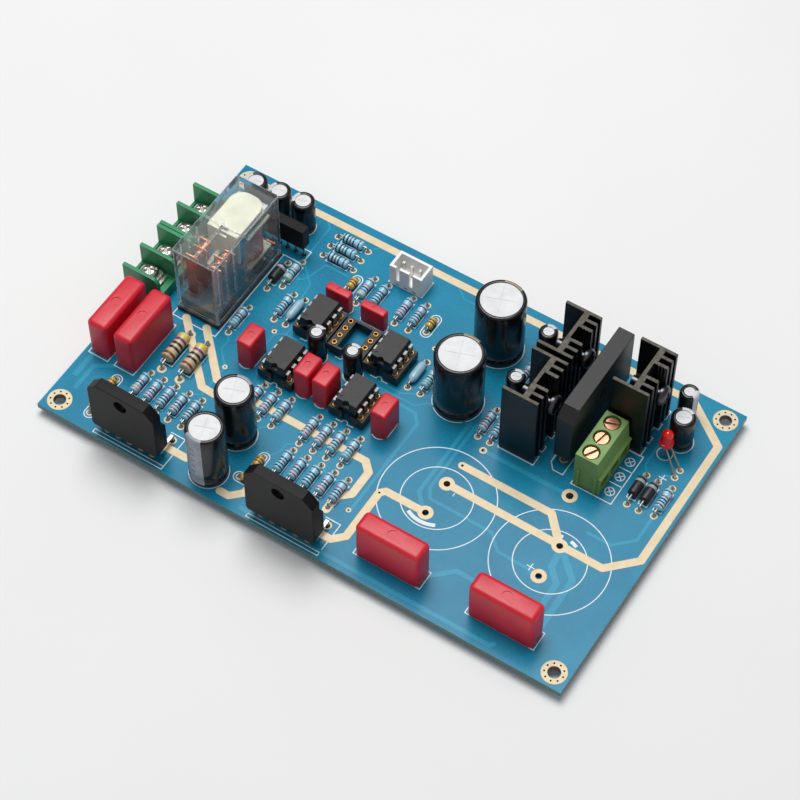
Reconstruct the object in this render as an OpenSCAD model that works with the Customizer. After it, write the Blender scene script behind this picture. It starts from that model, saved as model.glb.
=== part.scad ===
// Stereo audio power amplifier board, through-hole parts on one circuit board.
// Millimetres, +Z up. Origin: centre of the corner holes, on the board's underside.
// The long side runs along X, and the speaker terminals hang over the -X edge.

/* [Board] */
// Bare border at the right of the parts
right_border = 5.5; // [4:0.5:30]
// Bare border behind the parts
back_border = 5.5; // [4:0.5:30]
// Board thickness
board_t = 1.6; // [1:0.2:2.4]
// Corner hole diameter
corner_hole_d = 3.2; // [2.4:0.1:3.6]
// Corner hole centre, in from both edges
corner_inset = 4; // [3.5:0.25:4.5]
// Bare copper ring round a corner hole
corner_ring_d = 6.4; // [5:0.2:6.8]
// Thickness of the bare tinned copper
copper_t = 0.06; // [0.03:0.01:0.15]
// Width of a bare track
track_w = 2.1; // [1.2:0.1:2.6]

/* [Leads] */
// Wire of the small parts
wire_d = 0.6; // [0.4:0.05:0.8]
// Room round a lead in its hole
hole_room = 0.18; // [0.1:0.02:0.3]
// How far a small lead stands out below the board
lead_tail = 1.6; // [1:0.1:1.8]
// How far the terminals' and large chips' leads stand out below the board
stout_tail = 2; // [1.9:0.1:3]
// Pad round a small lead
pad_d = 1.9; // [1.6:0.1:2.2]

/* [Speaker terminals] */
// Distance between two wires
barrier_pitch = 7.5; // [7:0.1:8.5]
// Depth of a block, across the board's edge
barrier_depth = 11; // [10:0.5:14]
// Top of the walls above the board
barrier_h = 10.7; // [9.5:0.1:13]
// Floor that the lugs lie on
barrier_floor = 4; // [3.5:0.1:5]
// Wall between two wires
barrier_wall = 1.1; // [0.8:0.1:1.4]
// How far a block hangs over the board's edge
barrier_overhang = 2.5; // [1:0.1:3]
// Screw head
barrier_head_d = 5; // [4:0.1:5.4]
// Screw thread
barrier_thread_d = 2.9; // [2.4:0.1:3.1]

/* [Relay] */
// Width of the cover
relay_w = 13; // [12.6:0.1:14]
// Length of the cover
relay_l = 29; // [28.5:0.1:30]
// Top of the cover above the board
relay_h = 24.5; // [24.3:0.1:27]
// Wall of the cover
relay_wall = 0.9; // [0.6:0.1:1]
// Top of the base's plug above the board
relay_floor = 5; // [4:0.1:5]

/* [Power chips] */
// Width of a body
chip_w = 19.8; // [18.5:0.1:20.4]
// Thickness of a body
chip_t = 4.6; // [4:0.1:5]
// Height of a body
chip_h = 18; // [16:0.1:20]
// Gap under a body
chip_raise = 3; // [2.5:0.1:4]
// Bolt hole through a body
chip_bolt_d = 3.6; // [3:0.1:4]
// Distance between two leads of a body
chip_pitch = 1.7; // [1.6:0.02:1.75]

/* [Capacitors] */
// Filter capacitors: diameter
filter_d = 13; // [10:0.1:14]
// Filter capacitors: height
filter_h = 20.5; // [16:0.5:30]
// Supply rail capacitors: diameter
rail_d = 10; // [8:0.1:10.4]
// Supply rail capacitors: height
rail_h = 19.5; // [12:0.5:25]
// Small capacitors: height
small_h = 11; // [7:0.5:14]
// Printed sleeve of the cans
sleeve_t = 0.2; // [0.15:0.05:0.3]
// Large film capacitors: length
film_l = 18; // [16:0.5:19]
// Large film capacitors: thickness
film_t = 6; // [5:0.1:6.5]
// Large film capacitors: height
film_h = 12.5; // [9:0.5:16]
// Small film capacitors: length
signal_film_l = 7.2; // [6:0.1:7.5]
// Tall small film capacitors: thickness
tall_film_t = 4.5; // [3.5:0.1:4.8]
// Tall small film capacitors: height
tall_film_h = 9.5; // [7:0.5:12]
// Low small film capacitors: thickness
low_film_t = 2.5; // [2:0.1:3]
// Low small film capacitors: height
low_film_h = 6.5; // [5:0.5:9]

/* [Chip sockets] */
// Distance between two contacts in a row
pin_pitch = 2.54; // [2.5:0.01:2.6]
// Distance between the two rows
row_pitch = 7.62; // [7.5:0.01:7.8]
// Height of a socket
socket_h = 3.4; // [2.8:0.1:4]
// Gap between neighbouring sockets
socket_gap = 0.5; // [0.3:0.1:0.6]
// Height of a chip's body
opamp_h = 3.3; // [2.8:0.1:3.8]

/* [Heatsinks] */
// Length of a heatsink, along the board's short side
sink_l = 15; // [14:0.1:16]
// Depth of a heatsink
sink_d = 10; // [9:0.1:10.5]
// Height of a heatsink
sink_h = 25; // [22:0.5:35]
// Thickness of a fin
fin_t = 1; // [0.7:0.05:1.1]
// Gap between the two heatsinks that stand in line
sink_gap = 1.3; // [0.8:0.1:2]
// Thread of the regulator screws
sink_thread_d = 2.9; // [2.5:0.1:3]

/* [Power terminal] */
// Distance between two wires
power_pitch = 5.08; // [4.9:0.02:5.1]
// Height of the body above the board
power_h = 12.6; // [12.4:0.1:15]
// Depth of the body's top
power_depth = 6.2; // [6:0.1:7]
// Thread of the screws
power_thread_d = 2.5; // [2:0.1:2.6]

/* [Resistors and diodes] */
// Distance between a film resistor's two holes
resistor_pitch = 9.4; // [9.2:0.1:10]
// Body diameter of a film resistor
resistor_d = 2.4; // [2:0.1:2.6]
// Body length of a film resistor
resistor_l = 6.3; // [5.5:0.1:6.8]
// Body diameter of an output resistor
output_d = 3.6; // [3:0.1:4.4]
// Body length of an output resistor
output_l = 8.6; // [7:0.1:9.4]
// Body diameter of a diode
diode_d = 2.7; // [2.3:0.1:3]

/* [Input header] */
// Distance between two pins
header_pitch = 2.5; // [2.4:0.05:2.6]
// Height of the shroud
header_h = 7; // [6:0.1:8]

/* [Hidden] */
$fn = 32;
// Slack between pieces that are pushed together by hand
seat = 0.05;
// Slack round a screw that turns
turn_room = 0.3;

// The parts' area ends here, and the board adds its borders to it
parts_l = 146.5;
parts_w = 87;
board_l = parts_l + right_border;
board_w = parts_w + back_border;
corner_via_d = 0.5;
corner_vias = 9;
hole_d = wire_d * sqrt(2) + 2 * hole_room;
stout_hole_d = 1.5;
fillet_d = 1.7;
fillet_h = 0.9;

// Places are [x, y, turn] from the board's left front corner
barrier_y = 41.6;
barrier_split = 0.15;
barrier_l = 2 * barrier_pitch + barrier_wall;
barrier_screw_x = barrier_depth / 2 - 0.5;
barrier_blocks = [for (i = [0, 1]) barrier_y + barrier_pitch + i * (barrier_l + barrier_split)];
barrier_screws = [for (b = barrier_blocks, s = [-0.5, 0.5]) b + s * barrier_pitch];

relay_at = [18.9, 57.8, 0];
protection_at = [21.2, 75.4, 0];
chip_left_at = [26.5, 1.2, 0];
chip_right_at = [72.6, 1.2, 0];
filter_at = [[88.5, 57.6, 90], [88.5, 77.2, 90]];
rail_at = [[47.9, 6.6, 90], [47.6, 19.4, 90]];
// Small capacitors: place, turn and diameter
small_at = [
  [10.8, 82.2, 0, 6.3], [17.8, 82.8, 0, 6.3], [24.9, 83.3, 0, 6.3],
  [51.2, 49.9, 90, 5], [62, 49.9, 90, 5],
  [100.2, 81.4, 90, 5], [100.4, 65.2, 90, 5],
  [141.4, 76.8, 90, 6.3], [138.9, 84.3, 0, 5]
];
film_gap = 2;
output_film_at = [for (i = [0, 1]) [4.2 + i * (film_t + film_gap), 29.6, 90]];
supply_film_at = [[100, 8.9, 0], [131.4, 9.3, 0]];
tall_film_y = 41.1;
tall_film_at = [for (x = [37.2, 54.4, 59.9, 77.2]) [x, tall_film_y, 90]];
low_film_at = [[46.9, 66.7, 0], [57.6, 66.7, 0]];
socket_l = 4 * pin_pitch;
socket_w = row_pitch + pin_pitch;
socket_step = socket_w + socket_gap;
socket_row = 15.9;
socket_at = [for (c = [[0, 0], [1, 0], [2, 0], [0, 1], [2, 1]])
  [46.8 + c[0] * socket_step, 57.9 - c[1] * socket_row, 0]];
opamp_at = [for (i = [0, 2, 3, 4]) socket_at[i]];
sink_at = [[108.9, 59, 0], [108.9, 59 + sink_l + sink_gap, 0], [129.9, 75.6, 0]];
bridge_at = [119.8, 70, 90];
power_at = [124.9, 59.7, 0];
header_at = [58.5, 82.9, 0];
light_at = [140, 71.6, 0];
light_pads = [[145.6, 69.2], [145.5, 66.7]];

// Axial parts: the middle between their two holes, and the turn of their wire
row_turn = 90;
resistor_at = concat(
  [for (y = [78, 81.6, 85.2]) [39.1, y, 0]],
  [for (x = [18.6, 22.6, 26.5, 30.4, 34.4]) [x, 18.3, row_turn]],
  [for (x = [62, 66.2, 70.3, 74.3, 78.3]) [x, 18.2, row_turn]],
  [for (x = [45, 49.1, 53.2]) [x, 30.6, row_turn]],
  [for (x = [62, 66.1, 70, 74.2]) [x, 30, row_turn]],
  [for (x = [50.2, 54.4, 62, 66.2]) [x, 74, row_turn]],
  [[31.2, 68.4, row_turn], [27.8, 48.7, row_turn], [35.3, 58.4, row_turn], [79.4, 58.9, row_turn]],
  [[98.3, 55.7, row_turn], [101.8, 55.7, row_turn], [98.9, 73.2, row_turn], [146.6, 58.9, row_turn]]
);
output_pitch = 12.8;
output_at = [[20.1, 31.9, row_turn], [25.8, 31.6, row_turn]];
diode_pitch = 9.9;
diode_l = 5.2;
diode_at = [[28.2, 65.9, row_turn], [139.4, 58.6, row_turn], [142.7, 58.5, row_turn]];
axial_pitch = 9.2;
axial_l = 7;
axial_d = 2.4;
axial_at = [[38.7, 58.5, row_turn], [75.6, 58.8, row_turn]];
bead_pitch = 4.6;
bead_l = 3.2;
bead_d = 2.2;
bead_at = [[46.4, 73.5, row_turn], [70.4, 73.6, row_turn], [57, 14.8, row_turn], [57.4, 9.3, 0],
  [12.4, 14.3, row_turn], [12.7, 7.2, row_turn]];

// Holes that hold no lead: place, ring and hole diameters
snap_pads = [[99.2, 35, 4, 1.7], [99.2, 25.1, 4, 1.7], [131.6, 34.5, 4, 1.7], [131.6, 24.5, 4, 1.7]];
spare_pads = [[126.4, 48.2, 4, 1.9], [101.6, 48.2, 2, 1], [99.6, 41.6, 1.6, 0.7], [37.5, 50.6, 1.4, 0.6],
  [33.2, 34.6, 1.4, 0.6], [75, 68.1, 1.4, 0.6], [83, 15.6, 1.4, 0.6], [86.6, 23.9, 1.4, 0.6]];

// Bare tracks, each a run of points chosen along the board's printed pattern
tracks = [
  [[corner_inset, board_w - 3.4], [board_l - 13.2, board_w - 3.4], [board_l - 1.8, board_w - 12],
    [board_l - 1.8, 41.4], [board_l - 8.6, 34.6], [99.2, 35]],
  [[99.6, 41.6], [125.2, 41.5], [131.6, 34.5]],
  [[99.2, 25.1], [87.8, 25.1], [86.6, 23.9], [86.6, 9], [83.9, 6.3], [81.5, 6.3]],
  [[44, 29.9], [78.7, 29.9], [81.2, 27.4], [81.2, 19.9], [78.3, 17.3], [78.3, 12.8]],
  [[15.9, 42.2], [31.8, 26.4], [36, 26.2]],
  [[22.2, 42.2], [33.9, 30.2]],
  [[34.9, 6.7], [41, 6.7]],
  [[53.4, 3.3], [56, 3.3], [58.8, 6], [58.8, 8]]
];

// Puts a part on the board's face, at a place given from the left front corner
module at(p) {
  translate([p[0] - board_l / 2, p[1] - board_w / 2, board_t]) rotate(p[2]) children();
}

// Puts a child at both ends of each axial part, with +X pointing away from its body
module at_ends(places, pitch) {
  for (p = places)
    at(p)
      for (s = [0, 180])
        rotate(s) translate([pitch / 2, 0, 0]) children();
}

module at_corners() {
  for (x = [-1, 1], y = [-1, 1])
    translate([x * (board_l / 2 - corner_inset), y * (board_w / 2 - corner_inset), 0]) children();
}

// A hole through the board, below a place on its face
module drill(d) {
  translate([0, 0, -board_t - 1]) cylinder(d = d, h = board_t + 2);
}

// A round pin from under the board up to a height above its face, with its solder fillet
module pin(d, top, tail = lead_tail) {
  rotate_extrude()
    polygon([[0, -board_t - tail], [d / 2, -board_t - tail], [d / 2, -board_t - fillet_h],
      [fillet_d / 2, -board_t], [d / 2, -board_t], [d / 2, top], [0, top]]);
}

// A flat lead that stands in its hole and bends over to a body, drawn in its own plane
module bent_lead(reach, axis_h, w = wire_d, tail = lead_tail) {
  h = w / 2;
  bend = w * 0.8;
  translate([0, h, 0]) rotate([90, 0, 0])
    linear_extrude(w)
      polygon([[-h, -board_t - tail], [h, -board_t - tail], [h, -board_t - fillet_h],
        [fillet_d / 2, -board_t], [h, -board_t], [h, axis_h + h - bend], [h - bend, axis_h + h],
        [-reach, axis_h + h], [-reach, axis_h - h], [-h - bend / 2, axis_h - h], [-h, axis_h - h - bend / 2],
        [-h, -board_t], [-fillet_d / 2, -board_t], [-h, -board_t - fillet_h]]);
}

// Rectangle with round corners, from its own corner
module round_rect(a, b, r) {
  translate([r, 0]) square([a - 2 * r, b]);
  translate([0, r]) square([a, b - 2 * r]);
  for (x = [r, a - r], y = [r, b - r])
    translate([x, y]) circle(r);
}

// Moulded block with soft edges all round, standing on its middle
module soft_block(l, w, h, r) {
  translate([-l / 2, -w / 2, 0])
    intersection() {
      linear_extrude(h) round_rect(l, w, r);
      translate([0, w, 0]) rotate([90, 0, 0]) linear_extrude(w) round_rect(l, h + r, r);
      rotate([90, 0, 90]) linear_extrude(l) round_rect(w, h, r);
    }
}

// Block centred on X and Y
module block(l, w, h) {
  translate([-l / 2, -w / 2, 0]) cube([l, w, h]);
}

// Board
module circuit_board() {
  color([0.05, 0.35, 0.5])
    difference() {
      translate([-board_l / 2, -board_w / 2, 0]) cube([board_l, board_w, board_t]);
      at_corners() translate([0, 0, -1]) cylinder(d = corner_hole_d, h = board_t + 2);
      at_corners() corner_via_holes();
      all_lead_holes();
    }
}

module corner_via_holes() {
  ring_r = (corner_hole_d + corner_ring_d) / 4;
  for (i = [0 : corner_vias - 1])
    rotate(i * 360 / corner_vias) translate([ring_r, 0, -1])
      cylinder(d = corner_via_d, h = board_t + 2, $fn = 16);
}

module all_lead_holes() {
  visible_lead_holes();
  hidden_lead_holes();
}

// Holes with a ring of bare copper that can be seen
module visible_lead_holes() {
  at_ends(resistor_at, resistor_pitch) drill(hole_d);
  at_ends(diode_at, diode_pitch) drill(hole_d);
  at_ends(axial_at, axial_pitch) drill(hole_d);
  at_ends(bead_at, bead_pitch) drill(hole_d);
  at_ends(output_at, output_pitch) drill(hole_d);
  for (p = light_pads) at([p[0], p[1], 0]) drill(hole_d);
  for (p = concat(snap_pads, spare_pads)) at([p[0], p[1], 0]) drill(p[3]);
  for (p = [chip_left_at, chip_right_at]) at(p) at_chip_leads() drill(stout_hole_d);
  at(bridge_at) at_bridge_leads() drill(stout_hole_d);
}

// Holes under the parts that stand on the board
module hidden_lead_holes() {
  for (p = filter_at) at(p) at_pair(can_pitch(filter_d)) drill(hole_d);
  for (p = rail_at) at(p) at_pair(can_pitch(rail_d)) drill(hole_d);
  for (p = small_at) at(p) at_pair(can_pitch(p[3])) drill(hole_d);
  for (p = concat(output_film_at, supply_film_at)) at(p) at_pair(film_pitch) drill(hole_d);
  for (p = concat(tall_film_at, low_film_at)) at(p) at_pair(signal_film_pitch) drill(hole_d);
  for (p = socket_at) at(p) at_contacts() drill(hole_d);
  for (p = sink_at) at(p) at_regulator_leads() drill(hole_d);
  at(protection_at) at_protection_leads() drill(hole_d);
  at(header_at) at_header_pins() drill(hole_d + 0.2);
  at(power_at) at_power_pins() drill(stout_hole_d);
  at(relay_at) at_relay_pins() drill(stout_hole_d);
  at([0, 0, 0]) at_lug_pins() drill(stout_hole_d);
}

// Bare tinned copper: pads, corner rings and wide tracks, all in one layer
// The rings are etched back a little from the corner holes, in short flats
ring_setback = 0.06;
ring_flats = 24;

module bare_copper() {
  color([0.85, 0.78, 0.66])
    difference() {
      union() {
        at_corners() translate([0, 0, board_t]) cylinder(d = corner_ring_d, h = copper_t);
        at_ends(resistor_at, resistor_pitch) pad(pad_d);
        at_ends(diode_at, diode_pitch) pad(pad_d);
        at_ends(axial_at, axial_pitch) pad(pad_d);
        at_ends(bead_at, bead_pitch) pad(pad_d);
        at_ends(output_at, output_pitch) pad(pad_d + 0.6);
        for (p = light_pads) at([p[0], p[1], 0]) pad(pad_d);
        for (p = concat(snap_pads, spare_pads)) at([p[0], p[1], 0]) pad(p[2]);
        for (p = [chip_left_at, chip_right_at]) at(p) at_chip_leads() pad(stout_hole_d + 0.8);
        at(bridge_at) at_bridge_leads() pad(stout_hole_d + 1);
        for (t = tracks) bare_track(t);
      }
      at_corners() translate([0, 0, -1]) linear_extrude(board_t + 2) ring_edge();
      at_corners() corner_via_holes();
      visible_lead_holes();
    }
}

module ring_edge() {
  r = (corner_hole_d / 2 + ring_setback) / cos(180 / ring_flats);
  polygon([for (i = [0 : ring_flats - 1]) r * [cos(i * 360 / ring_flats), sin(i * 360 / ring_flats)]]);
}

module pad(d) {
  cylinder(d = d, h = copper_t);
}

module bare_track(points) {
  for (i = [0 : len(points) - 2]) {
    run = points[i + 1] - points[i];
    at([points[i][0], points[i][1], atan2(run[1], run[0])])
      translate([0, -track_w / 2, 0]) cube([norm(run), track_w, copper_t]);
  }
  for (p = points) at([p[0], p[1], 0]) pad(track_w);
}

// Speaker barrier terminals: a floor with a lug in each bay, and a wall between the wires
lug_t = 0.8;
lug_w = 5;
lug_pin_w = 1.1;
clamp_t = 0.8;
clamp_w = 5.6;
lug_pin_x = barrier_depth - barrier_overhang - 2.6;
barrier_head_h = 2.2;

module at_lug_pins() {
  for (y = barrier_screws) translate([lug_pin_x, y, 0]) children();
}

module speaker_terminal_bodies() {
  bay = barrier_pitch - barrier_wall;
  round_r = 2;
  color([0.1, 0.5, 0.3])
    for (b = barrier_blocks)
      at([-barrier_overhang, b, 0])
        difference() {
          union() {
            translate([0, -barrier_l / 2, 0]) cube([barrier_depth, barrier_l, barrier_floor]);
            for (s = [-1, 0, 1])
              translate([0, s * barrier_pitch + barrier_wall / 2, 0]) rotate([90, 0, 0])
                linear_extrude(barrier_wall) barrier_wall_face(round_r);
          }
          for (s = [-0.5, 0.5])
            translate([0, s * barrier_pitch, 0]) {
              translate([barrier_screw_x, 0, 0.6])
                cylinder(d = barrier_thread_d + 2 * turn_room, h = barrier_h);
              translate([barrier_overhang + lug_pin_x, 0, -1])
                block(lug_t + 4 * seat, lug_pin_w + 4 * seat, barrier_h);
              translate([0.9, -bay / 2 + 0.5, barrier_floor - lug_t / 2])
                cube([barrier_depth - 1.8, bay - 1, barrier_h]);
            }
        }
}

// Outline of a wall: its outer end is square and its inner end is rounded at the top
module barrier_wall_face(r) {
  square([barrier_depth, barrier_h - r]);
  square([barrier_depth - r, barrier_h]);
  translate([barrier_depth - r, barrier_h - r]) circle(r);
}

module speaker_terminal_lugs() {
  top = barrier_floor + lug_t / 2;
  x0 = barrier_screw_x - barrier_overhang - lug_w / 2;
  color("silver")
    for (y = barrier_screws)
      at([0, y, 0])
        difference() {
          union() {
            translate([x0, -lug_w / 2, top - lug_t]) cube([lug_pin_x + lug_t / 2 - x0, lug_w, lug_t]);
            translate([lug_pin_x, 0, -board_t - stout_tail])
              block(lug_t, lug_pin_w, top - lug_t / 2 + board_t + stout_tail);
          }
          translate([barrier_screw_x - barrier_overhang, 0, 0])
            cylinder(d = barrier_thread_d + 2 * turn_room, h = barrier_h);
        }
}

// Square clamp plate with turned-down edges, carried by the screw
module speaker_clamp(i) {
  color("gainsboro")
    at([barrier_screw_x - barrier_overhang, barrier_screws[i], 0])
      translate([0, 0, barrier_floor + lug_t / 2 + seat])
        difference() {
          intersection() {
            block(clamp_w, clamp_w, clamp_t);
            rotate(45) block(clamp_w * 1.3, clamp_w * 1.3, clamp_t);
          }
          translate([0, 0, -1]) cylinder(d = barrier_thread_d + 2 * seat, h = clamp_t + 2);
          translate([0, 0, -1]) block(clamp_w - 1.6, clamp_w + 1, 1.15);
        }
}

// Pan head screw with a cross and slot recess
module speaker_screw(i) {
  seat_z = barrier_floor + lug_t / 2 + clamp_t + 2 * seat;
  r = barrier_head_d / 2;
  color("silver")
    at([barrier_screw_x - barrier_overhang, barrier_screws[i], 0])
      difference() {
        rotate_extrude()
          polygon([[0, 1], [barrier_thread_d / 2 - 0.5, 1], [barrier_thread_d / 2, 1.5],
            [barrier_thread_d / 2, seat_z], [r, seat_z], [r, seat_z + 1], [r * 0.9, seat_z + 1.6],
            [r * 0.6, seat_z + barrier_head_h - 0.1], [0, seat_z + barrier_head_h]]);
        translate([0, 0, seat_z + barrier_head_h - 1])
          for (a = [0, 90]) rotate(45 + a) block(barrier_head_d * 0.62, 0.8, 2);
        translate([0, 0, seat_z + barrier_head_h - 0.6]) rotate(45) block(barrier_head_d * 1.1, 0.8, 2);
      }
}

// Relay. Its own origin is the middle of its footprint, and its coil stands in the +Y half.
relay_flange = 1.5;
relay_top = relay_h - 1;
yoke_t = 1.2;
yoke_y = relay_l * 0.0069;
core_y = relay_l * 0.2276;
core_d = 4;
pole_d = 6.4;
flange_t = 1;
// The works hang from the cover's top: hinge edge, pole face, contacts and blade ends
hinge_z = relay_h - 4.1;
pole_top = hinge_z - 0.65;
contact_z = hinge_z - 2.6;
blade_top = hinge_z - 0.8;
arm_low = hinge_z - 7.4;
arm_w = relay_w - 3.8;
arm_t = 1;
arm_reach = relay_l * 0.4138;
arm_gap = 0.2;
// The coil fills the room between the core and the yoke's upright
coil_d = 2 * (core_y - yoke_y - yoke_t - 0.2);
bobbin_tube_d = core_d + 1.6;
bobbin_w = relay_w - 2 * relay_wall - 0.8;
spring_y = -relay_l * 0.2517;
spring_t = 0.25;
spring_w = 3.8;
contact_step = relay_l * 0.1069;
closed_y = spring_y + contact_step;
open_y = spring_y - contact_step;
coil_pin_y = relay_l * 0.4414;
blade_t = 0.4;
blade_w = 2.6;
blade_x = relay_w * 0.3;
pole_x = blade_x - 0.8;
rivet_d = 2.4;
spring_rivet_l = 2.4;
contact_gap = 1;
// Where the eight terminals leave the base: two coil ends, then closed, common and open contacts
relay_pins = concat(
  [for (s = [-1, 1]) [s * blade_x, coil_pin_y]],
  [for (y = [closed_y, spring_y, open_y], s = [-1, 1]) [s * blade_x, y]]
);

module at_relay_pins() {
  for (p = relay_pins) translate([p[0], p[1], 0]) children();
}

module relay_base() {
  plug_w = relay_w - 2 * relay_wall - 2 * seat;
  plug_l = relay_l - 2 * relay_wall - 2 * seat;
  color([0.07, 0.07, 0.07])
    at(relay_at)
      difference() {
        union() {
          block(relay_w, relay_l, relay_flange);
          block(plug_w, plug_l, relay_floor);
        }
        at_relay_pins() translate([0, 0, -1]) block(blade_w + 2 * seat, blade_t + 2 * seat, relay_floor + 2);
      }
}

// Clear cover: thin box with two ribs across its top, and a round vent mark where they meet
module relay_cover() {
  corner_r = 0.8;
  rib_y = -1.2;
  rib_w = 0.8;
  rib_h = 0.3;
  color([0.85, 0.9, 0.92, 0.4])
    at(relay_at)
      difference() {
        union() {
          translate([-relay_w / 2, -relay_l / 2, relay_flange])
            linear_extrude(relay_h - relay_flange) round_rect(relay_w, relay_l, corner_r);
          translate([0, rib_y, relay_h - rib_h]) cylinder(d = 2.2, h = 2 * rib_h);
          translate([-rib_w / 2, rib_y - 12, relay_h - rib_h]) cube([rib_w, 12, 2 * rib_h]);
          translate([0, rib_y, relay_h - rib_h]) block(relay_w - 2, rib_w, 2 * rib_h);
        }
        translate([0, 0, relay_flange - 1])
          block(relay_w - 2 * relay_wall, relay_l - 2 * relay_wall, relay_top - relay_flange + 1);
      }
}

module relay_bobbin() {
  z0 = relay_floor + yoke_t + seat;
  top = pole_top - 0.7;
  color([0.9, 0.86, 0.76])
    at(relay_at)
      translate([0, core_y, 0])
        difference() {
          union() {
            translate([0, 0, z0]) block(bobbin_w, coil_d, flange_t);
            translate([0, 0, top - flange_t]) block(bobbin_w, coil_d, flange_t);
            translate([0, 0, z0]) cylinder(d = bobbin_tube_d, h = top - z0);
          }
          translate([0, 0, z0 - 1]) cylinder(d = core_d + 2 * seat, h = relay_h);
        }
}

module relay_coil() {
  z0 = relay_floor + yoke_t + seat + flange_t + seat;
  top = pole_top - 0.7 - flange_t - seat;
  color([0.72, 0.4, 0.28])
    at(relay_at)
      translate([0, core_y, z0])
        difference() {
          cylinder(d = coil_d, h = top - z0);
          translate([0, 0, -1]) cylinder(d = bobbin_tube_d + 2 * seat, h = relay_h);
        }
}

// Iron yoke: foot under the coil, upright towards the contacts, and the core with its pole face
module relay_yoke() {
  yoke_w = arm_w - 0.2;
  yoke_foot = arm_reach - 0.2;
  color([0.55, 0.56, 0.58])
    at(relay_at)
      union() {
        translate([0, yoke_y + yoke_foot / 2, relay_floor]) block(yoke_w, yoke_foot, yoke_t);
        translate([0, yoke_y + yoke_t / 2, relay_floor]) block(yoke_w, yoke_t, hinge_z - relay_floor);
        translate([0, core_y, relay_floor]) cylinder(d = core_d, h = pole_top - relay_floor);
        translate([0, core_y, pole_top - 0.6]) cylinder(d = pole_d, h = 0.6);
      }
}

// Armature: bent plate that tips on the yoke's upper edge
module relay_armature() {
  z0 = hinge_z + arm_gap;
  face_y = yoke_y - arm_gap;
  color([0.6, 0.61, 0.63])
    at(relay_at)
      translate([-arm_w / 2, 0, 0]) rotate([90, 0, 90])
        linear_extrude(arm_w)
          polygon([[yoke_y + arm_reach, z0], [yoke_y + arm_reach, z0 + arm_t], [face_y - arm_t, z0 + arm_t],
            [face_y - arm_t, arm_low], [face_y, arm_low], [face_y, z0]]);
}

// Card on top of the armature, rounded towards the coil's end
module pusher_card() {
  card_l = arm_reach + 1.8;
  front_r = 1.2;
  back_r = arm_w * 0.42;
  front_w = arm_w - 2 * front_r;
  back_w = arm_w - 2 * back_r;
  translate([-front_w / 2, 0]) square([front_w, card_l / 2]);
  translate([-arm_w / 2, front_r]) square([arm_w, card_l - front_r - back_r]);
  translate([-back_w / 2, card_l / 2]) square([back_w, card_l / 2]);
  for (s = [-1, 1]) {
    translate([s * front_w / 2, front_r]) circle(front_r);
    translate([s * back_w / 2, card_l - back_r]) circle(back_r);
  }
}

// Cream pusher moulded round the armature, with one finger for each contact spring
module relay_pusher() {
  z0 = hinge_z + arm_gap + arm_t;
  face_y = yoke_y - arm_gap - arm_t;
  finger_z = arm_low - 0.5;
  wall = 0.7;
  finger_reach = face_y - spring_y - spring_t / 2 - 0.2;
  color([0.93, 0.9, 0.8])
    at(relay_at)
      difference() {
        union() {
          translate([0, face_y - wall, z0]) linear_extrude(1.1) pusher_card();
          translate([-arm_w / 2, face_y - wall, finger_z]) cube([arm_w, wall, z0 + 1 - finger_z]);
          for (s = [-1, 1])
            translate([s * 1.4, face_y - finger_reach / 2, finger_z]) block(1.2, finger_reach, 1.5);
        }
        translate([0, face_y - wall, z0 - 1]) block(2.4, 3.2, 3);
      }
}

// Two contact springs, each with a rivet that faces both fixed contacts
module relay_contact_springs() {
  foot = relay_floor + 0.3;
  color([0.8, 0.5, 0.32])
    at(relay_at)
      for (s = [-1, 1])
        translate([s * pole_x, spring_y, 0]) {
          translate([0, 0, foot]) block(spring_w, spring_t, blade_top - foot + 0.4);
          translate([0, spring_rivet_l / 2, contact_z]) rotate([90, 0, 0])
            cylinder(d = rivet_d, h = spring_rivet_l);
        }
}

// Fixed contacts and terminals: blades that stand in the base and pins through the board
module relay_terminals() {
  color([0.8, 0.5, 0.32])
    at(relay_at) {
      for (s = [-1, 1]) {
        fixed_contact(s * blade_x, closed_y, 90, closed_y - spring_y - spring_rivet_l / 2 - 0.15);
        fixed_contact(s * blade_x, open_y, -90, spring_y - open_y - spring_rivet_l / 2 - contact_gap);
        terminal_blade(s * blade_x, spring_y, relay_floor);
        terminal_blade(s * blade_x, coil_pin_y, relay_floor + 1);
      }
    }
}

module terminal_blade(x, y, top) {
  pin_w = 1;
  shoulder = 0.5;
  translate([x, y + blade_t / 2, 0]) rotate([90, 0, 0])
    linear_extrude(blade_t)
      polygon([[-pin_w / 2, -board_t - stout_tail], [pin_w / 2, -board_t - stout_tail],
        [pin_w / 2, shoulder], [blade_w / 2, shoulder], [blade_w / 2, top],
        [-blade_w / 2, top], [-blade_w / 2, shoulder], [-pin_w / 2, shoulder]]);
}

// The rivet stands off the blade towards the spring: close to it when closed, a gap away when open
module fixed_contact(x, y, turn, rivet_l) {
  terminal_blade(x, y, blade_top);
  translate([x - sign(x) * (blade_x - pole_x), y, contact_z]) rotate([turn, 0, 0])
    cylinder(d = rivet_d, h = rivet_l);
}

// Protection chip on eight leads in one row
protection_l = 19.6;
protection_t = 2.8;
protection_h = 7;
protection_raise = 4;

module at_protection_leads() {
  for (i = [0 : 7]) translate([(i - 3.5) * pin_pitch, 0, 0]) children();
}

module protection_chip() {
  notch_r = 0.9;
  color([0.08, 0.08, 0.09])
    at(protection_at)
      translate([0, protection_t / 2, protection_raise]) rotate([90, 0, 0])
        linear_extrude(protection_t)
          difference() {
            polygon([[-protection_l / 2, 0], [protection_l / 2, 0], [protection_l / 2, protection_h],
              [-protection_l / 2 + 1.4, protection_h], [-protection_l / 2, protection_h - 1.4]]);
            translate([-protection_l / 2, protection_h / 2]) circle(notch_r);
          }
}

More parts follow.
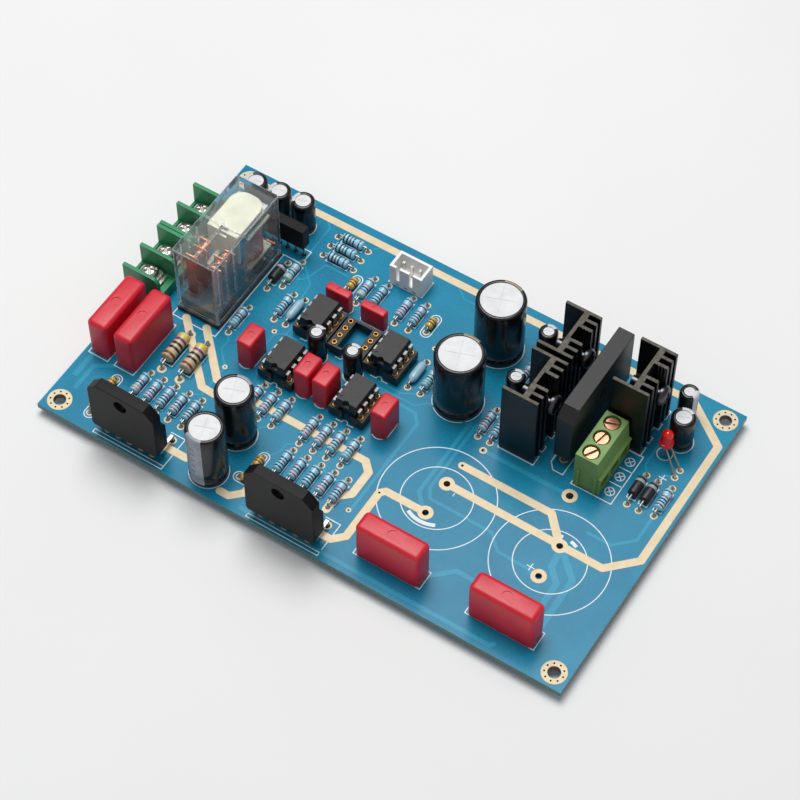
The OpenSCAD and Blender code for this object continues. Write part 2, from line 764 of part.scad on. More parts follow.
// Power chips: a thick moulded body with cut corners, a bolt hole and two rows of leads
chip_cut = 2.8;
chip_shoulder = 1.5;
chip_bolt_drop = 3.6;
chip_back_row = 5.6;
chip_lead_w = 0.9;
chip_lead_t = 0.5;

// Odd leads come straight down and even leads bend back to a second row
module at_chip_leads() {
  for (i = [0 : 10])
    translate([(i - 5) * chip_pitch, chip_t / 2 + (i % 2 == 0 ? chip_back_row : 0), 0]) children();
}

module power_chip(p) {
  z1 = chip_raise + chip_h;
  half = chip_w / 2;
  shoulder_z = z1 - chip_bolt_drop - chip_bolt_d;
  color([0.06, 0.06, 0.065])
    at(p)
      difference() {
        translate([0, chip_t, 0]) rotate([90, 0, 0])
          linear_extrude(chip_t)
            polygon([[-half + 0.6, chip_raise], [half - 0.6, chip_raise], [half, chip_raise + 0.8],
              [half, z1 - chip_cut], [half - chip_cut, z1], [-half + chip_cut, z1],
              [-half, z1 - chip_cut], [-half, chip_raise + 0.8]]);
        translate([0, chip_t + 1, z1 - chip_bolt_drop]) rotate([90, 0, 0])
          cylinder(d = chip_bolt_d, h = chip_t + 2);
        // The top is thinner at the back, where the bolt goes through
        translate([-half - 1, 0, 0]) rotate([90, 0, 90])
          linear_extrude(chip_w + 2)
            polygon([[chip_t - chip_shoulder, z1 + 1], [chip_t - chip_shoulder, shoulder_z],
              [chip_t + 1, shoulder_z - 2.5], [chip_t + 1, z1 + 1]]);
      }
}

module power_chip_leads() {
  y0 = chip_t / 2;
  color("silver")
    for (p = [chip_left_at, chip_right_at])
      at(p)
        for (i = [0 : 10])
          translate([(i - 5) * chip_pitch - chip_lead_w / 2, 0, 0]) rotate([90, 0, 90])
            linear_extrude(chip_lead_w) chip_lead_side(y0, i % 2 == 0 ? chip_back_row : 0);
}

// Side view of a lead: out of the body's underside, back by a step, and down through the board
module chip_lead_side(y0, step) {
  h = chip_lead_t / 2;
  knee = chip_raise - 1;
  low = -board_t - stout_tail;
  if (step > 0)
    polygon([[y0 - h, chip_raise], [y0 - h, knee - h], [y0 + step - h, knee - h], [y0 + step - h, low],
      [y0 + step + h, low], [y0 + step + h, knee + h], [y0 + h, knee + h], [y0 + h, chip_raise]]);
  else
    polygon([[y0 - h, chip_raise], [y0 - h, low], [y0 + h, low], [y0 + h, chip_raise]]);
}

// Electrolytic capacitors: a can in a printed sleeve that is rolled over its top edge
bead_z = 2.2;
bead_in = 0.45;
can_edge = 0.7;
sleeve_rim = 1.1;
can_foot = 0.5;

function can_pitch(d) = d > 9 ? 5 : d > 6 ? 2.5 : 2;

// A child at each of two leads
module at_pair(pitch) {
  for (s = [-1, 1]) translate([s * pitch / 2, 0, 0]) children();
}

module can_outline(r, low, high) {
  polygon([[0, low], [r - 0.5, low], [r, low + 0.5], [r, bead_z - can_edge], [r - bead_in, bead_z],
    [r, bead_z + can_edge], [r, high - can_edge], [r - 0.2, high - 0.25], [r - can_edge, high], [0, high]]);
}

module can_sleeve(d, h) {
  difference() {
    rotate_extrude() can_outline(d / 2, 0, h);
    rotate_extrude() can_outline(d / 2 - sleeve_t, can_foot - seat, h - sleeve_t);
    translate([0, 0, -1]) cylinder(r = d / 2 - sleeve_rim, h = h + 2);
  }
}

// Can with a rubber foot and a cross scored in its top, so that it can vent
module can_body(d, h) {
  difference() {
    rotate_extrude() can_outline(d / 2 - sleeve_t - seat, can_foot, h - sleeve_t - seat);
    if (d > 6)
      translate([0, 0, h - sleeve_t - seat - 0.15])
        for (a = [0, 90]) rotate(a) block(d - 3.4, 0.25, 1);
  }
}

module filter_capacitor_sleeves() {
  color([0.07, 0.07, 0.08]) for (p = filter_at) at(p) can_sleeve(filter_d, filter_h);
}

module rail_capacitor_sleeves() {
  color([0.07, 0.07, 0.08]) for (p = rail_at) at(p) can_sleeve(rail_d, rail_h);
}

module small_capacitor_sleeves() {
  color([0.08, 0.08, 0.1]) for (p = small_at) at(p) can_sleeve(p[3], small_h);
}

module capacitor_cans() {
  color("gainsboro") {
    for (p = filter_at) at(p) can_body(filter_d, filter_h);
    for (p = rail_at) at(p) can_body(rail_d, rail_h);
    for (p = small_at) at(p) can_body(p[3], small_h);
  }
}

// Film capacitors: soft-edged boxes, the large ones with a round dimple in the top
film_r = 1;
film_pitch = 15;
signal_film_pitch = 5;
dimple_d = 3.2;

module large_film_capacitor() {
  difference() {
    soft_block(film_l, film_t, film_h, film_r);
    translate([0, 0, film_h - 0.2]) cylinder(d = dimple_d, h = 1);
  }
}

module output_film_capacitors() {
  color([0.75, 0.08, 0.14]) for (p = output_film_at) at(p) large_film_capacitor();
}

module supply_film_capacitors() {
  color([0.75, 0.08, 0.14]) for (p = supply_film_at) at(p) large_film_capacitor();
}

module signal_film_capacitors() {
  color([0.75, 0.08, 0.14]) {
    for (p = tall_film_at) at(p) soft_block(signal_film_l, tall_film_t, tall_film_h, 0.6);
    for (p = low_film_at) at(p) soft_block(signal_film_l, low_film_t, low_film_h, 0.5);
  }
}

// Chip sockets: two rails with turned contacts, joined by bars
contact_d = 1.35;
contact_head_d = 1.75;
contact_bore_d = 0.9;
socket_raise = 0.6;

module at_contacts() {
  for (s = [-1, 1], i = [0 : 3])
    translate([s * row_pitch / 2, (i - 1.5) * pin_pitch, 0]) children();
}

module ic_sockets() {
  gap = row_pitch - pin_pitch;
  bar_w = 1.2;
  color([0.08, 0.07, 0.07])
    for (p = socket_at)
      at(p)
        difference() {
          translate([0, 0, socket_raise]) block(socket_w, socket_l, socket_h - socket_raise);
          translate([0, 0, -1]) block(gap, socket_l / 2 - bar_w, socket_h + 2);
          for (s = [-1, 1])
            translate([0, s * (socket_l / 4 + bar_w / 2), -1])
              block(gap, socket_l / 2 - 2 * bar_w, socket_h + 2);
          translate([0, -socket_l / 2, -1]) cylinder(d = 2, h = socket_h + 2);
          at_contacts() translate([0, 0, -1]) cylinder(d = contact_d + 2 * seat, h = socket_h + 2);
        }
}

module socket_contacts() {
  r = contact_d / 2;
  head = socket_h + 0.25;
  bore = contact_bore_d / 2;
  color([0.85, 0.68, 0.38])
    for (p = socket_at)
      at(p)
        at_contacts()
          rotate_extrude($fn = 20)
            polygon([[0, -board_t - lead_tail], [wire_d / 2, -board_t - lead_tail], [wire_d / 2, 0], [r, 0],
              [r, socket_h], [contact_head_d / 2, socket_h], [contact_head_d / 2, head - 0.1], [r, head],
              [bore, head], [bore, 0.8], [0, 0.8]]);
}

// Dual amplifier chips, plugged into four of the sockets
opamp_raise = socket_h + 1.1;
opamp_w = 6.4;
opamp_l = 9.6;
opamp_draft = 0.3;

module op_amps() {
  mid = opamp_h / 2;
  color([0.05, 0.05, 0.055])
    for (p = opamp_at)
      at(p)
        translate([0, 0, opamp_raise])
          difference() {
            intersection() {
              translate([0, opamp_l / 2, 0]) rotate([90, 0, 0])
                linear_extrude(opamp_l) drafted_side(opamp_w / 2, mid);
              translate([-opamp_w / 2, 0, 0]) rotate([90, 0, 90])
                linear_extrude(opamp_w) drafted_side(opamp_l / 2, mid);
            }
            translate([0, -opamp_l / 2, mid]) cylinder(d = 1.8, h = opamp_h);
            translate([-1.9, -opamp_l / 2 + 1.3, opamp_h - 0.15]) cylinder(d = 1, h = 1);
          }
}

// Side of a moulded body that tapers both ways from its middle
module drafted_side(half, mid) {
  polygon([[-half + opamp_draft, 0], [half - opamp_draft, 0], [half, mid], [half - opamp_draft, opamp_h],
    [-half + opamp_draft, opamp_h], [-half, mid]]);
}

module op_amp_pins() {
  pin_t = 0.26;
  mid = opamp_raise + opamp_h / 2;
  knee = socket_h + 0.5;
  tip = 1.2;
  out = row_pitch / 2 + pin_t / 2;
  color("silver")
    for (p = opamp_at)
      at(p)
        for (s = [0, 180], i = [0 : 3])
          rotate(s) translate([0, (i - 1.5) * pin_pitch, 0]) {
            translate([opamp_w / 2 + seat, -0.7, mid - pin_t / 2])
              cube([out - opamp_w / 2 - seat, 1.4, pin_t]);
            translate([out - pin_t, 0, 0]) rotate([90, 0, 90])
              linear_extrude(pin_t)
                polygon([[-0.25, tip], [0.25, tip], [0.25, knee - 0.1], [0.7, knee + 0.4], [0.7, mid],
                  [-0.7, mid], [-0.7, knee + 0.4], [-0.25, knee - 0.1]]);
          }
}

// Heatsinks: extruded profile with an open channel for the regulator at -X,
// and short fins with a toothed screw channel at +X
sink_web_x = 0.3;
sink_web_t = 1.7;
sink_tooth = 0.25;
sink_tooth_step = 0.9;
regulator_raise = 4.5;
tab_t = 1.3;
tab_w = 10;
tab_h = 15.4;
regulator_h = 9;
regulator_t = 3;
tab_hole_z = regulator_raise + tab_h - 2.8;
sink_hole_d = sink_thread_d + 0.4;
sink_slot_w = sink_hole_d + 2 * sink_tooth + 0.1;
// Two inner fins stand between the screw channel and each end wall
sink_fin_step = (sink_l / 2 - fin_t - sink_slot_w / 2) / 2;
sink_fin_gap = sink_fin_step - fin_t;

module heatsink(p) {
  color([0.05, 0.05, 0.055])
    at(p)
      difference() {
        linear_extrude(sink_h) sink_profile();
        translate([-sink_d, 0, tab_hole_z]) rotate([0, 90, 0]) cylinder(d = sink_hole_d, h = 2 * sink_d);
      }
}

module sink_profile() {
  difference() {
    translate([-sink_d / 2, -sink_l / 2]) square([sink_d, sink_l]);
    // Regulator's channel
    translate([-sink_d / 2 - 1, -sink_l / 2 + fin_t])
      square([sink_d / 2 + 1 + sink_web_x, sink_l - 2 * fin_t]);
    // Gaps between the fins
    for (s = [-1, 1], i = [0, 1])
      translate([sink_web_x + sink_web_t, s * (sink_slot_w / 2 + fin_t / 2 + (i + 0.5) * sink_fin_step)])
        translate([0, -sink_fin_gap / 2]) square([sink_d, sink_fin_gap]);
    translate([sink_web_x + sink_web_t, 0]) screw_channel();
  }
}

// Channel that the regulator's screw runs in, with teeth along both walls
module screw_channel() {
  w = sink_slot_w / 2;
  near = -0.6;
  far = sink_d;
  polygon(concat([[near, -w]], channel_wall([0 : 1 : 2], -w, 1), [[far, -w], [far, w]],
    channel_wall([2 : -1 : 0], w, -1), [[near, w]]));
}

// Points along one wall: for each tooth its near foot, tip and far foot, in the order given
function channel_wall(order, y, s) = [for (i = order, k = s > 0 ? [0, 1, 2] : [2, 1, 0])
  [0.3 + i * sink_tooth_step + k * sink_tooth, k == 1 ? y + s * sink_tooth : y]];

module at_regulator_leads() {
  for (i = [-1, 0, 1])
    translate([sink_web_x - tab_t - 1.2, i * pin_pitch, 0]) children();
}

module regulators() {
  color([0.07, 0.07, 0.075])
    for (p = sink_at)
      at(p)
        translate([sink_web_x - tab_t - seat - regulator_t, -tab_w / 2, regulator_raise])
          cube([regulator_t, tab_w, regulator_h]);
}

module regulator_tabs() {
  color("silver")
    for (p = sink_at)
      at(p)
        difference() {
          translate([sink_web_x - tab_t - seat / 2, -tab_w / 2, regulator_raise])
            cube([tab_t, tab_w, tab_h]);
          translate([-sink_d, 0, tab_hole_z]) rotate([0, 90, 0]) cylinder(d = sink_hole_d, h = 2 * sink_d);
        }
}

// Domed screw through the fins, the web and the tab
module heatsink_screws() {
  head_r = 2.7;
  head_h = 2;
  grip = sink_d / 2 - sink_web_x + tab_t + 2;
  color([0.6, 0.6, 0.62])
    for (p = sink_at)
      at(p)
        translate([sink_d / 2 + seat, 0, tab_hole_z]) rotate([0, 90, 0])
          difference() {
            rotate_extrude()
              polygon([[0, -grip], [sink_thread_d / 2, -grip], [sink_thread_d / 2, 0], [head_r, 0],
                [head_r, head_h * 0.4], [head_r * 0.85, head_h * 0.75], [head_r * 0.5, head_h * 0.97],
                [0, head_h]]);
            for (a = [0, 90]) rotate(a) translate([0, 0, head_h - 0.8]) block(head_r * 1.2, 0.7, 2);
          }
}

// Bridge rectifier: flat body on four leads, with one upper corner cut
bridge_l = 30;
bridge_t = 4.6;
bridge_h = 18.5;
bridge_raise = 3;
bridge_cut = 3;
bridge_hole_d = 3.2;
bridge_pitches = [-13.2, -3.2, 4.3, 11.8];

module at_bridge_leads() {
  for (x = bridge_pitches) translate([x, 0, 0]) children();
}

module bridge_rectifier() {
  z1 = bridge_raise + bridge_h;
  half = bridge_l / 2;
  color([0.1, 0.1, 0.1])
    at(bridge_at)
      difference() {
        translate([0, bridge_t / 2, 0]) rotate([90, 0, 0])
          linear_extrude(bridge_t)
            polygon([[-half, bridge_raise], [half, bridge_raise], [half, z1], [-half + bridge_cut, z1],
              [-half, z1 - bridge_cut]]);
        translate([0, bridge_t, z1 - bridge_h / 2 + 2]) rotate([90, 0, 0])
          cylinder(d = bridge_hole_d, h = 2 * bridge_t);
        // The top edge is drafted on both faces
        for (s = [-1, 1])
          translate([0, s * (bridge_t / 2 + 1.4), bridge_raise + bridge_h / 2]) rotate([s * 3, 0, 0])
            block(bridge_l + 2, 2, bridge_h);
      }
}

// Power terminal: its own origin is at the back wall, in the middle of its length.
// A wire goes in at +X, and its screw lifts the cage that clamps it to the fixed bar.
power_l = 3 * power_pitch;
power_step_z = 6.4;
power_step = 1.4;
power_screw_x = 3;
power_head_d = 3.9;
power_head_h = 1.3;
power_head_z = power_h - 1.7;
cage_w = 4;
cage_d = 4.3;
cage_h = 6;
cage_z = 1.3;
cage_top = 1.3;
cage_wall = 0.6;
cage_room = 0.15;
cage_lift = 2.8;
bar_t = 0.7;
bar_z = cage_z + cage_h - cage_top - bar_t - 0.2;
power_bays = [for (i = [-1, 0, 1]) i * power_pitch];

module at_power_pins() {
  for (y = power_bays) translate([power_screw_x, y, 0]) children();
}

module power_terminal_body() {
  rib = 0.5;
  lip = 0.3;
  foot = power_depth + power_step;
  color([0.48, 0.62, 0.38])
    at(power_at)
      difference() {
        union() {
          translate([0, power_l / 2, 0]) rotate([90, 0, 0])
            linear_extrude(power_l)
              polygon([[0, 0], [foot - lip, 0], [foot - lip, power_step_z - 0.9], [foot, power_step_z - 0.9],
                [foot, power_step_z], [power_depth + 0.6, power_step_z + lip], [power_depth, power_h],
                [0, power_h]]);
          // Two dovetail ribs on the front end, which join this block to a neighbour
          for (x = [1, power_depth - 0.4])
            translate([x, -power_l / 2 - rib, 0]) cube([0.7, rib + 0.1, power_step_z]);
        }
        for (y = power_bays)
          translate([power_screw_x, y, 0]) {
            translate([0, 0, power_head_z - 0.1]) cylinder(d = power_head_d + 2 * turn_room, h = power_h);
            translate([0, 0, cage_z]) cylinder(d = power_thread_d + 2 * turn_room, h = power_h);
            translate([0, 0, cage_z - cage_room])
              block(cage_d + 2 * cage_room, cage_w + 2 * cage_room, cage_h + cage_lift + 2 * cage_room);
            // Wire entry, through the stepped side
            translate([0, -cage_w / 2 + 0.2, cage_z + 0.3]) cube([power_depth + 4, cage_w - 0.4, 4.1]);
            translate([0, 0, -1]) cylinder(d = stout_hole_d, h = cage_z + 2);
          }
      }
}

// Screw with a straight slot, which stays at its height
module power_screw(i) {
  color([0.8, 0.56, 0.44])
    at(power_at)
      translate([power_screw_x, power_bays[i], 0])
        difference() {
          rotate_extrude()
            polygon([[0, bar_z + bar_t + 0.25], [power_thread_d / 2, bar_z + bar_t + 0.25],
              [power_thread_d / 2, power_head_z], [power_head_d / 2, power_head_z],
              [power_head_d / 2, power_head_z + power_head_h - 0.2],
              [power_head_d / 2 - 0.2, power_head_z + power_head_h], [0, power_head_z + power_head_h]]);
          translate([0, 0, power_head_z + power_head_h - 0.7]) rotate(power_slot_turn(i))
            block(power_head_d + 1, 0.7, 2);
        }
}

function power_slot_turn(i) = [60, 78, 20][i];

// Rising cage: a square loop with the thread in its top
module power_cage(i) {
  color([0.75, 0.72, 0.66])
    at(power_at)
      translate([power_screw_x, power_bays[i], cage_z])
        difference() {
          block(cage_d, cage_w, cage_h);
          translate([0, 0, cage_wall])
            block(cage_d + 2, cage_w - 2 * cage_wall, cage_h - cage_wall - cage_top);
          cylinder(d = power_thread_d + 2 * turn_room, h = cage_h + 1);
          // The fixed bar's pin stands in this slot of the cage's floor
          translate([0, 0, -1]) cylinder(d = 1.9, h = cage_wall + 2);
        }
}

// Fixed bar inside each cage, with its pin through the board
module power_terminal_pins() {
  bar_w = cage_w - 2 * cage_wall - 0.6;
  pin_d = 1;
  color("silver")
    at(power_at)
      at_power_pins() {
        translate([0, 0, bar_z]) block(cage_d + 2 * cage_room, bar_w, bar_t);
        translate([0, 0, -board_t - stout_tail])
          cylinder(d = pin_d, h = board_t + stout_tail + bar_z + bar_t / 2);
      }
}

// Input header: open shroud with two slots in its front wall
header_wall = 0.8;
header_end = 2.4;
header_d = 5.75;
header_floor = 2;
header_pin_d = 0.64;
header_l = 2 * header_pitch + 2 * header_end;

module at_header_pins() {
  for (i = [-1, 0, 1]) translate([i * header_pitch, 0.5, 0]) children();
}

module input_header() {
  color([0.93, 0.93, 0.92])
    at(header_at)
      difference() {
        block(header_l, header_d, header_h);
        translate([0, 0, header_floor])
          block(header_l - 2 * header_wall, header_d - 2 * header_wall, header_h);
        for (x = [-2.4, 1.6])
          translate([x, -header_d / 2, header_floor]) block(1, 3 * header_wall, header_h);
        for (i = [-1, 0, 1])
          translate([i * header_pitch, -header_d / 2, -1]) block(1.2, 1.6, 1.5);
        at_header_pins() translate([0, 0, -1])
          block(header_pin_d + 2 * seat, header_pin_d + 2 * seat, header_h);
      }
}

module header_pins() {
  color("silver")
    at(header_at)
      at_header_pins()
        translate([0, 0, -board_t - lead_tail])
          block(header_pin_d, header_pin_d, board_t + lead_tail + header_h - 0.9);
}

// Status light: round lens with a flange, held up by its long leads
light_d = 3;
light_flange_d = 3.7;
light_base = 4.6;
light_h = 5.2;

module status_light() {
  r = light_d / 2;
  color([0.85, 0.08, 0.08])
    at(light_at)
      translate([0, 0, light_base]) {
        cylinder(d = light_flange_d, h = 0.9);
        translate([0, 0, 0.9]) cylinder(r = r, h = light_h - r - 0.9);
        translate([0, 0, light_h - r])
          difference() {
            sphere(r = r);
            translate([0, 0, -2 * r]) block(4 * r, 4 * r, 2 * r);
          }
      }
}

// A lead of the light: out of its flange, over at a slant and down through its own pad
module light_lead(i) {
  foot = [light_pads[i][0] - light_at[0], light_pads[i][1] - light_at[1]];
  spread = (i - 0.5) * -1.6;
  start = [0, spread];
  run = foot - start;
  reach = norm(run);
  low = -board_t - lead_tail;
  knee = 1;
  h = wire_d / 2;
  at([light_at[0], light_at[1], 0])
    translate([start[0], start[1], 0]) rotate(atan2(run[1], run[0]))
      translate([0, h, 0]) rotate([90, 0, 0])
        linear_extrude(wire_d)
          polygon([[-h, light_base], [-h, light_base - 0.8], [reach - h, knee - h], [reach - h, low],
            [reach + h, low], [reach + h, knee + h], [h, light_base - 0.6], [h, light_base]]);
}

// Axial parts
module axial_bodies(places, axis_h) {
  for (p = places)
    at(p) translate([0, 0, axis_h]) rotate([0, 90, 0]) children();
}

// Spindle shape with thicker ends, as dipped parts have
module spindle(l, d, waist) {
  r = d / 2;
  h = l / 2;
  rotate_extrude()
    polygon([[0, -h], [r * 0.55, -h], [r, -h + 0.5], [r, -h + 1.4], [waist / 2, -h + 1.9],
      [waist / 2, h - 1.9], [r, h - 1.4], [r, h - 0.5], [r * 0.55, h], [0, h]]);
}

module barrel(l, d, edge) {
  r = d / 2;
  h = l / 2;
  rotate_extrude()
    polygon([[0, -h], [r - edge, -h], [r, -h + edge], [r, h - edge], [r - edge, h], [0, h]]);
}

rest_gap = 0.1;
resistor_axis = resistor_d / 2 + rest_gap;
output_axis = output_d / 2 + rest_gap;
diode_axis = diode_d / 2 + rest_gap;
axial_axis = axial_d / 2 + rest_gap;
bead_axis = bead_d / 2 + rest_gap;

module film_resistors() {
  color([0.35, 0.66, 0.8])
    axial_bodies(resistor_at, resistor_axis) spindle(resistor_l, resistor_d, resistor_d * 0.84);
}

module output_resistors() {
  color([0.78, 0.68, 0.52])
    axial_bodies(output_at, output_axis) spindle(output_l, output_d, output_d * 0.92);
}

module diodes() {
  color([0.08, 0.08, 0.08]) axial_bodies(diode_at, diode_axis) barrel(diode_l, diode_d, 0.2);
}

module axial_capacitors() {
  color([0.62, 0.78, 0.86]) axial_bodies(axial_at, axial_axis) barrel(axial_l, axial_d, 0.7);
}

module bead_capacitors() {
  color([0.88, 0.66, 0.2]) axial_bodies(bead_at, bead_axis) barrel(bead_l, bead_d, 0.5);
}

// Wires of all the small parts
module component_leads() {
  color("silver") {
    at_ends(resistor_at, resistor_pitch) bent_lead((resistor_pitch - resistor_l) / 2, resistor_axis);
    at_ends(output_at, output_pitch) bent_lead((output_pitch - output_l) / 2, output_axis);
    at_ends(diode_at, diode_pitch) bent_lead((diode_pitch - diode_l) / 2, diode_axis);
    at_ends(axial_at, axial_pitch) bent_lead((axial_pitch - axial_l) / 2, axial_axis);
    at_ends(bead_at, bead_pitch) bent_lead((bead_pitch - bead_l) / 2, bead_axis);
    for (p = filter_at) at(p) at_pair(can_pitch(filter_d)) pin(wire_d, can_foot);
    for (p = rail_at) at(p) at_pair(can_pitch(rail_d)) pin(wire_d, can_foot);
    for (p = small_at) at(p) at_pair(can_pitch(p[3])) pin(wire_d, can_foot);
    for (p = concat(output_film_at, supply_film_at)) at(p) at_pair(film_pitch) pin(wire_d, 0);
    for (p = concat(tall_film_at, low_film_at)) at(p) at_pair(signal_film_pitch) pin(wire_d, 0);
    for (p = sink_at) at(p) at_regulator_leads() pin(wire_d, regulator_raise);
    at(protection_at) at_protection_leads() pin(wire_d, protection_raise);
    at(bridge_at) at_bridge_leads() pin(1.1, bridge_raise);
    for (i = [0, 1]) light_lead(i);
  }
}

circuit_board();
bare_copper();
speaker_terminal_bodies();
speaker_terminal_lugs();
speaker_screw(0);  // speaker_screw_1
speaker_screw(1);  // speaker_screw_2
speaker_screw(2);  // speaker_screw_3
speaker_screw(3);  // speaker_screw_4
speaker_clamp(0);  // speaker_clamp_1
speaker_clamp(1);  // speaker_clamp_2
speaker_clamp(2);  // speaker_clamp_3
speaker_clamp(3);  // speaker_clamp_4
relay_base();
relay_cover();
relay_bobbin();
relay_coil();
relay_yoke();
relay_armature();
relay_pusher();
relay_contact_springs();
relay_terminals();
power_chip(chip_left_at);  // power_chip_left
power_chip(chip_right_at);  // power_chip_right
power_chip_leads();
op_amps();
op_amp_pins();
ic_sockets();
socket_contacts();
filter_capacitor_sleeves();
rail_capacitor_sleeves();
small_capacitor_sleeves();
capacitor_cans();
output_film_capacitors();
supply_film_capacitors();
signal_film_capacitors();
heatsink(sink_at[0]);  // heatsink_1
heatsink(sink_at[1]);  // heatsink_2
heatsink(sink_at[2]);  // heatsink_3
regulators();
regulator_tabs();
heatsink_screws();
bridge_rectifier();
power_terminal_body();
power_terminal_pins();
power_screw(0);  // power_screw_1
power_screw(1);  // power_screw_2
power_screw(2);  // power_screw_3
power_cage(0);  // power_cage_1
power_cage(1);  // power_cage_2
power_cage(2);  // power_cage_3
input_header();
header_pins();
status_light();
protection_chip();
film_resistors();
output_resistors();
diodes();
axial_capacitors();
bead_capacitors();
component_leads();
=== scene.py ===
import math

import bmesh
import bpy
from mathutils import Matrix, Vector


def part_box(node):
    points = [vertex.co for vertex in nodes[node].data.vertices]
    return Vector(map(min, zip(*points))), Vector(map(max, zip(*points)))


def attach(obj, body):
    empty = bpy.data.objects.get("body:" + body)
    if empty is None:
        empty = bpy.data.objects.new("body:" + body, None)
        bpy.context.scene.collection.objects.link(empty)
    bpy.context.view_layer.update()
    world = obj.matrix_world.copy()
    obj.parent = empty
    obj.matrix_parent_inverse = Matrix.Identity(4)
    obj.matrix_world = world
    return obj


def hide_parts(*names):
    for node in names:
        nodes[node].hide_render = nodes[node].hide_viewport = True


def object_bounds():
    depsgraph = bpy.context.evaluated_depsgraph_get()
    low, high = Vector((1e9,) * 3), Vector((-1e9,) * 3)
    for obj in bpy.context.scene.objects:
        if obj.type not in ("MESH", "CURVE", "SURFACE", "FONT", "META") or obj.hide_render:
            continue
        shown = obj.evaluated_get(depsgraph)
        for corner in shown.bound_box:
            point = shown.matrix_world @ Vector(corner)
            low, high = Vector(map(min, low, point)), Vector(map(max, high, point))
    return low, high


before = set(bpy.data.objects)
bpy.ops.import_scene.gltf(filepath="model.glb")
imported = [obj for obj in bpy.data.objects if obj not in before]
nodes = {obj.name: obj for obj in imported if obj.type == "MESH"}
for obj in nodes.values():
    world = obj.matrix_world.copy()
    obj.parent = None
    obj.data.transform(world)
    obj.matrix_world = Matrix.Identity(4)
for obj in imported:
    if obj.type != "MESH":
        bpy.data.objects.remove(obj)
cad_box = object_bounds()

# Circuit board: 1.6 mm glass-fibre laminate under a glossy blue solder mask.
# Its sawn edges show the fibres, and its drilled holes are plated through with copper.
mm = 0.001
board_l, board_w, board_t = 152, 92.5, 1.6


def spot(x, y, z=0.0):
    """A place given in mm from the board's left front corner, at a height above its face."""
    return Vector((x - board_l / 2, y - board_w / 2, z + board_t)) * mm


def srgb(r, g, b):
    """A colour as it reads on a screen, from 0 to 255, for a shader socket."""
    values = [v / 255 for v in (r, g, b)]
    return [v / 12.92 if v <= 0.04045 else ((v + 0.055) / 1.055) ** 2.4 for v in values] + [1]


def build_mottle_group():
    """Soft patches of a second colour with their own gloss, and a fine grain for the bump."""
    group = bpy.data.node_groups.new("surface_mottle", "ShaderNodeTree")
    for side, kind, names in (
        ("INPUT", "NodeSocketColor", ("Base", "Patch")),
        ("INPUT", "NodeSocketFloat", ("Patch Scale", "Grain Scale", "Smooth Gloss", "Dull Gloss")),
        ("OUTPUT", "NodeSocketColor", ("Color",)),
        ("OUTPUT", "NodeSocketFloat", ("Roughness", "Height")),
    ):
        for name in names:
            group.interface.new_socket(name=name, in_out=side, socket_type=kind)
    add = group.nodes.new
    link = group.links.new
    entry, exit_ = add("NodeGroupInput"), add("NodeGroupOutput")
    place = add("ShaderNodeTexCoord")
    patches, grain = add("ShaderNodeTexNoise"), add("ShaderNodeTexNoise")
    patches.inputs["Detail"].default_value = 3
    grain.inputs["Detail"].default_value = 2
    for noise, scale in ((patches, "Patch Scale"), (grain, "Grain Scale")):
        link(place.outputs["Object"], noise.inputs["Vector"])
        link(entry.outputs[scale], noise.inputs["Scale"])
    spread = add("ShaderNodeMapRange")
    spread.inputs["From Min"].default_value = 0.35
    spread.inputs["From Max"].default_value = 0.7
    link(patches.outputs["Fac"], spread.inputs["Value"])
    colour = add("ShaderNodeMix")
    colour.data_type = "RGBA"
    link(spread.outputs["Result"], colour.inputs["Factor"])
    link(entry.outputs["Base"], colour.inputs["A"])
    link(entry.outputs["Patch"], colour.inputs["B"])
    gloss = add("ShaderNodeMapRange")
    link(grain.outputs["Fac"], gloss.inputs["Value"])
    link(entry.outputs["Smooth Gloss"], gloss.inputs["To Min"])
    link(entry.outputs["Dull Gloss"], gloss.inputs["To Max"])
    link(colour.outputs["Result"], exit_.inputs["Color"])
    link(gloss.outputs["Result"], exit_.inputs["Roughness"])
    link(grain.outputs["Fac"], exit_.inputs["Height"])
    return group


mottle_group = build_mottle_group()


def finish(
    name, base, patch, gloss=(0.3, 0.5), patch_scale=200, grain_scale=3000, grain=0.05, **sockets,
):
    """A material whose colour, gloss and grain vary over the surface. Colours read as on a screen."""
    material = bpy.data.materials.new(name)
    material.use_nodes = True
    tree = material.node_tree
    shader = tree.nodes["Principled BSDF"]
    mottle = tree.nodes.new("ShaderNodeGroup")
    mottle.name = "mottle"
    mottle.node_tree = mottle_group
    for socket, value in (
        ("Base", srgb(*base)), ("Patch", srgb(*patch)), ("Patch Scale", patch_scale),
        ("Grain Scale", grain_scale), ("Smooth Gloss", gloss[0]), ("Dull Gloss", gloss[1]),
    ):
        mottle.inputs[socket].default_value = value
    bump = tree.nodes.new("ShaderNodeBump")
    bump.inputs["Strength"].default_value = grain
    bump.inputs["Distance"].default_value = 0.05 * mm
    link = tree.links.new
    link(mottle.outputs["Height"], bump.inputs["Height"])
    link(bump.outputs["Normal"], shader.inputs["Normal"])
    link(mottle.outputs["Color"], shader.inputs["Base Color"])
    link(mottle.outputs["Roughness"], shader.inputs["Roughness"])
    for socket, value in sockets.items():
        shader.inputs[socket.replace("_", " ")].default_value = value
    return material


def wear(node, material):
    """Gives a solid that is shown as it is its finish."""
    node.data.materials.clear()
    node.data.materials.append(material)


def band_mask(tree, value, middle, half):
    """1 where a coordinate lies within half of the middle."""
    compare = tree.nodes.new("ShaderNodeMath")
    compare.operation = "COMPARE"
    compare.inputs[1].default_value = middle
    compare.inputs[2].default_value = half
    tree.links.new(value, compare.inputs[0])
    return compare.outputs["Value"]


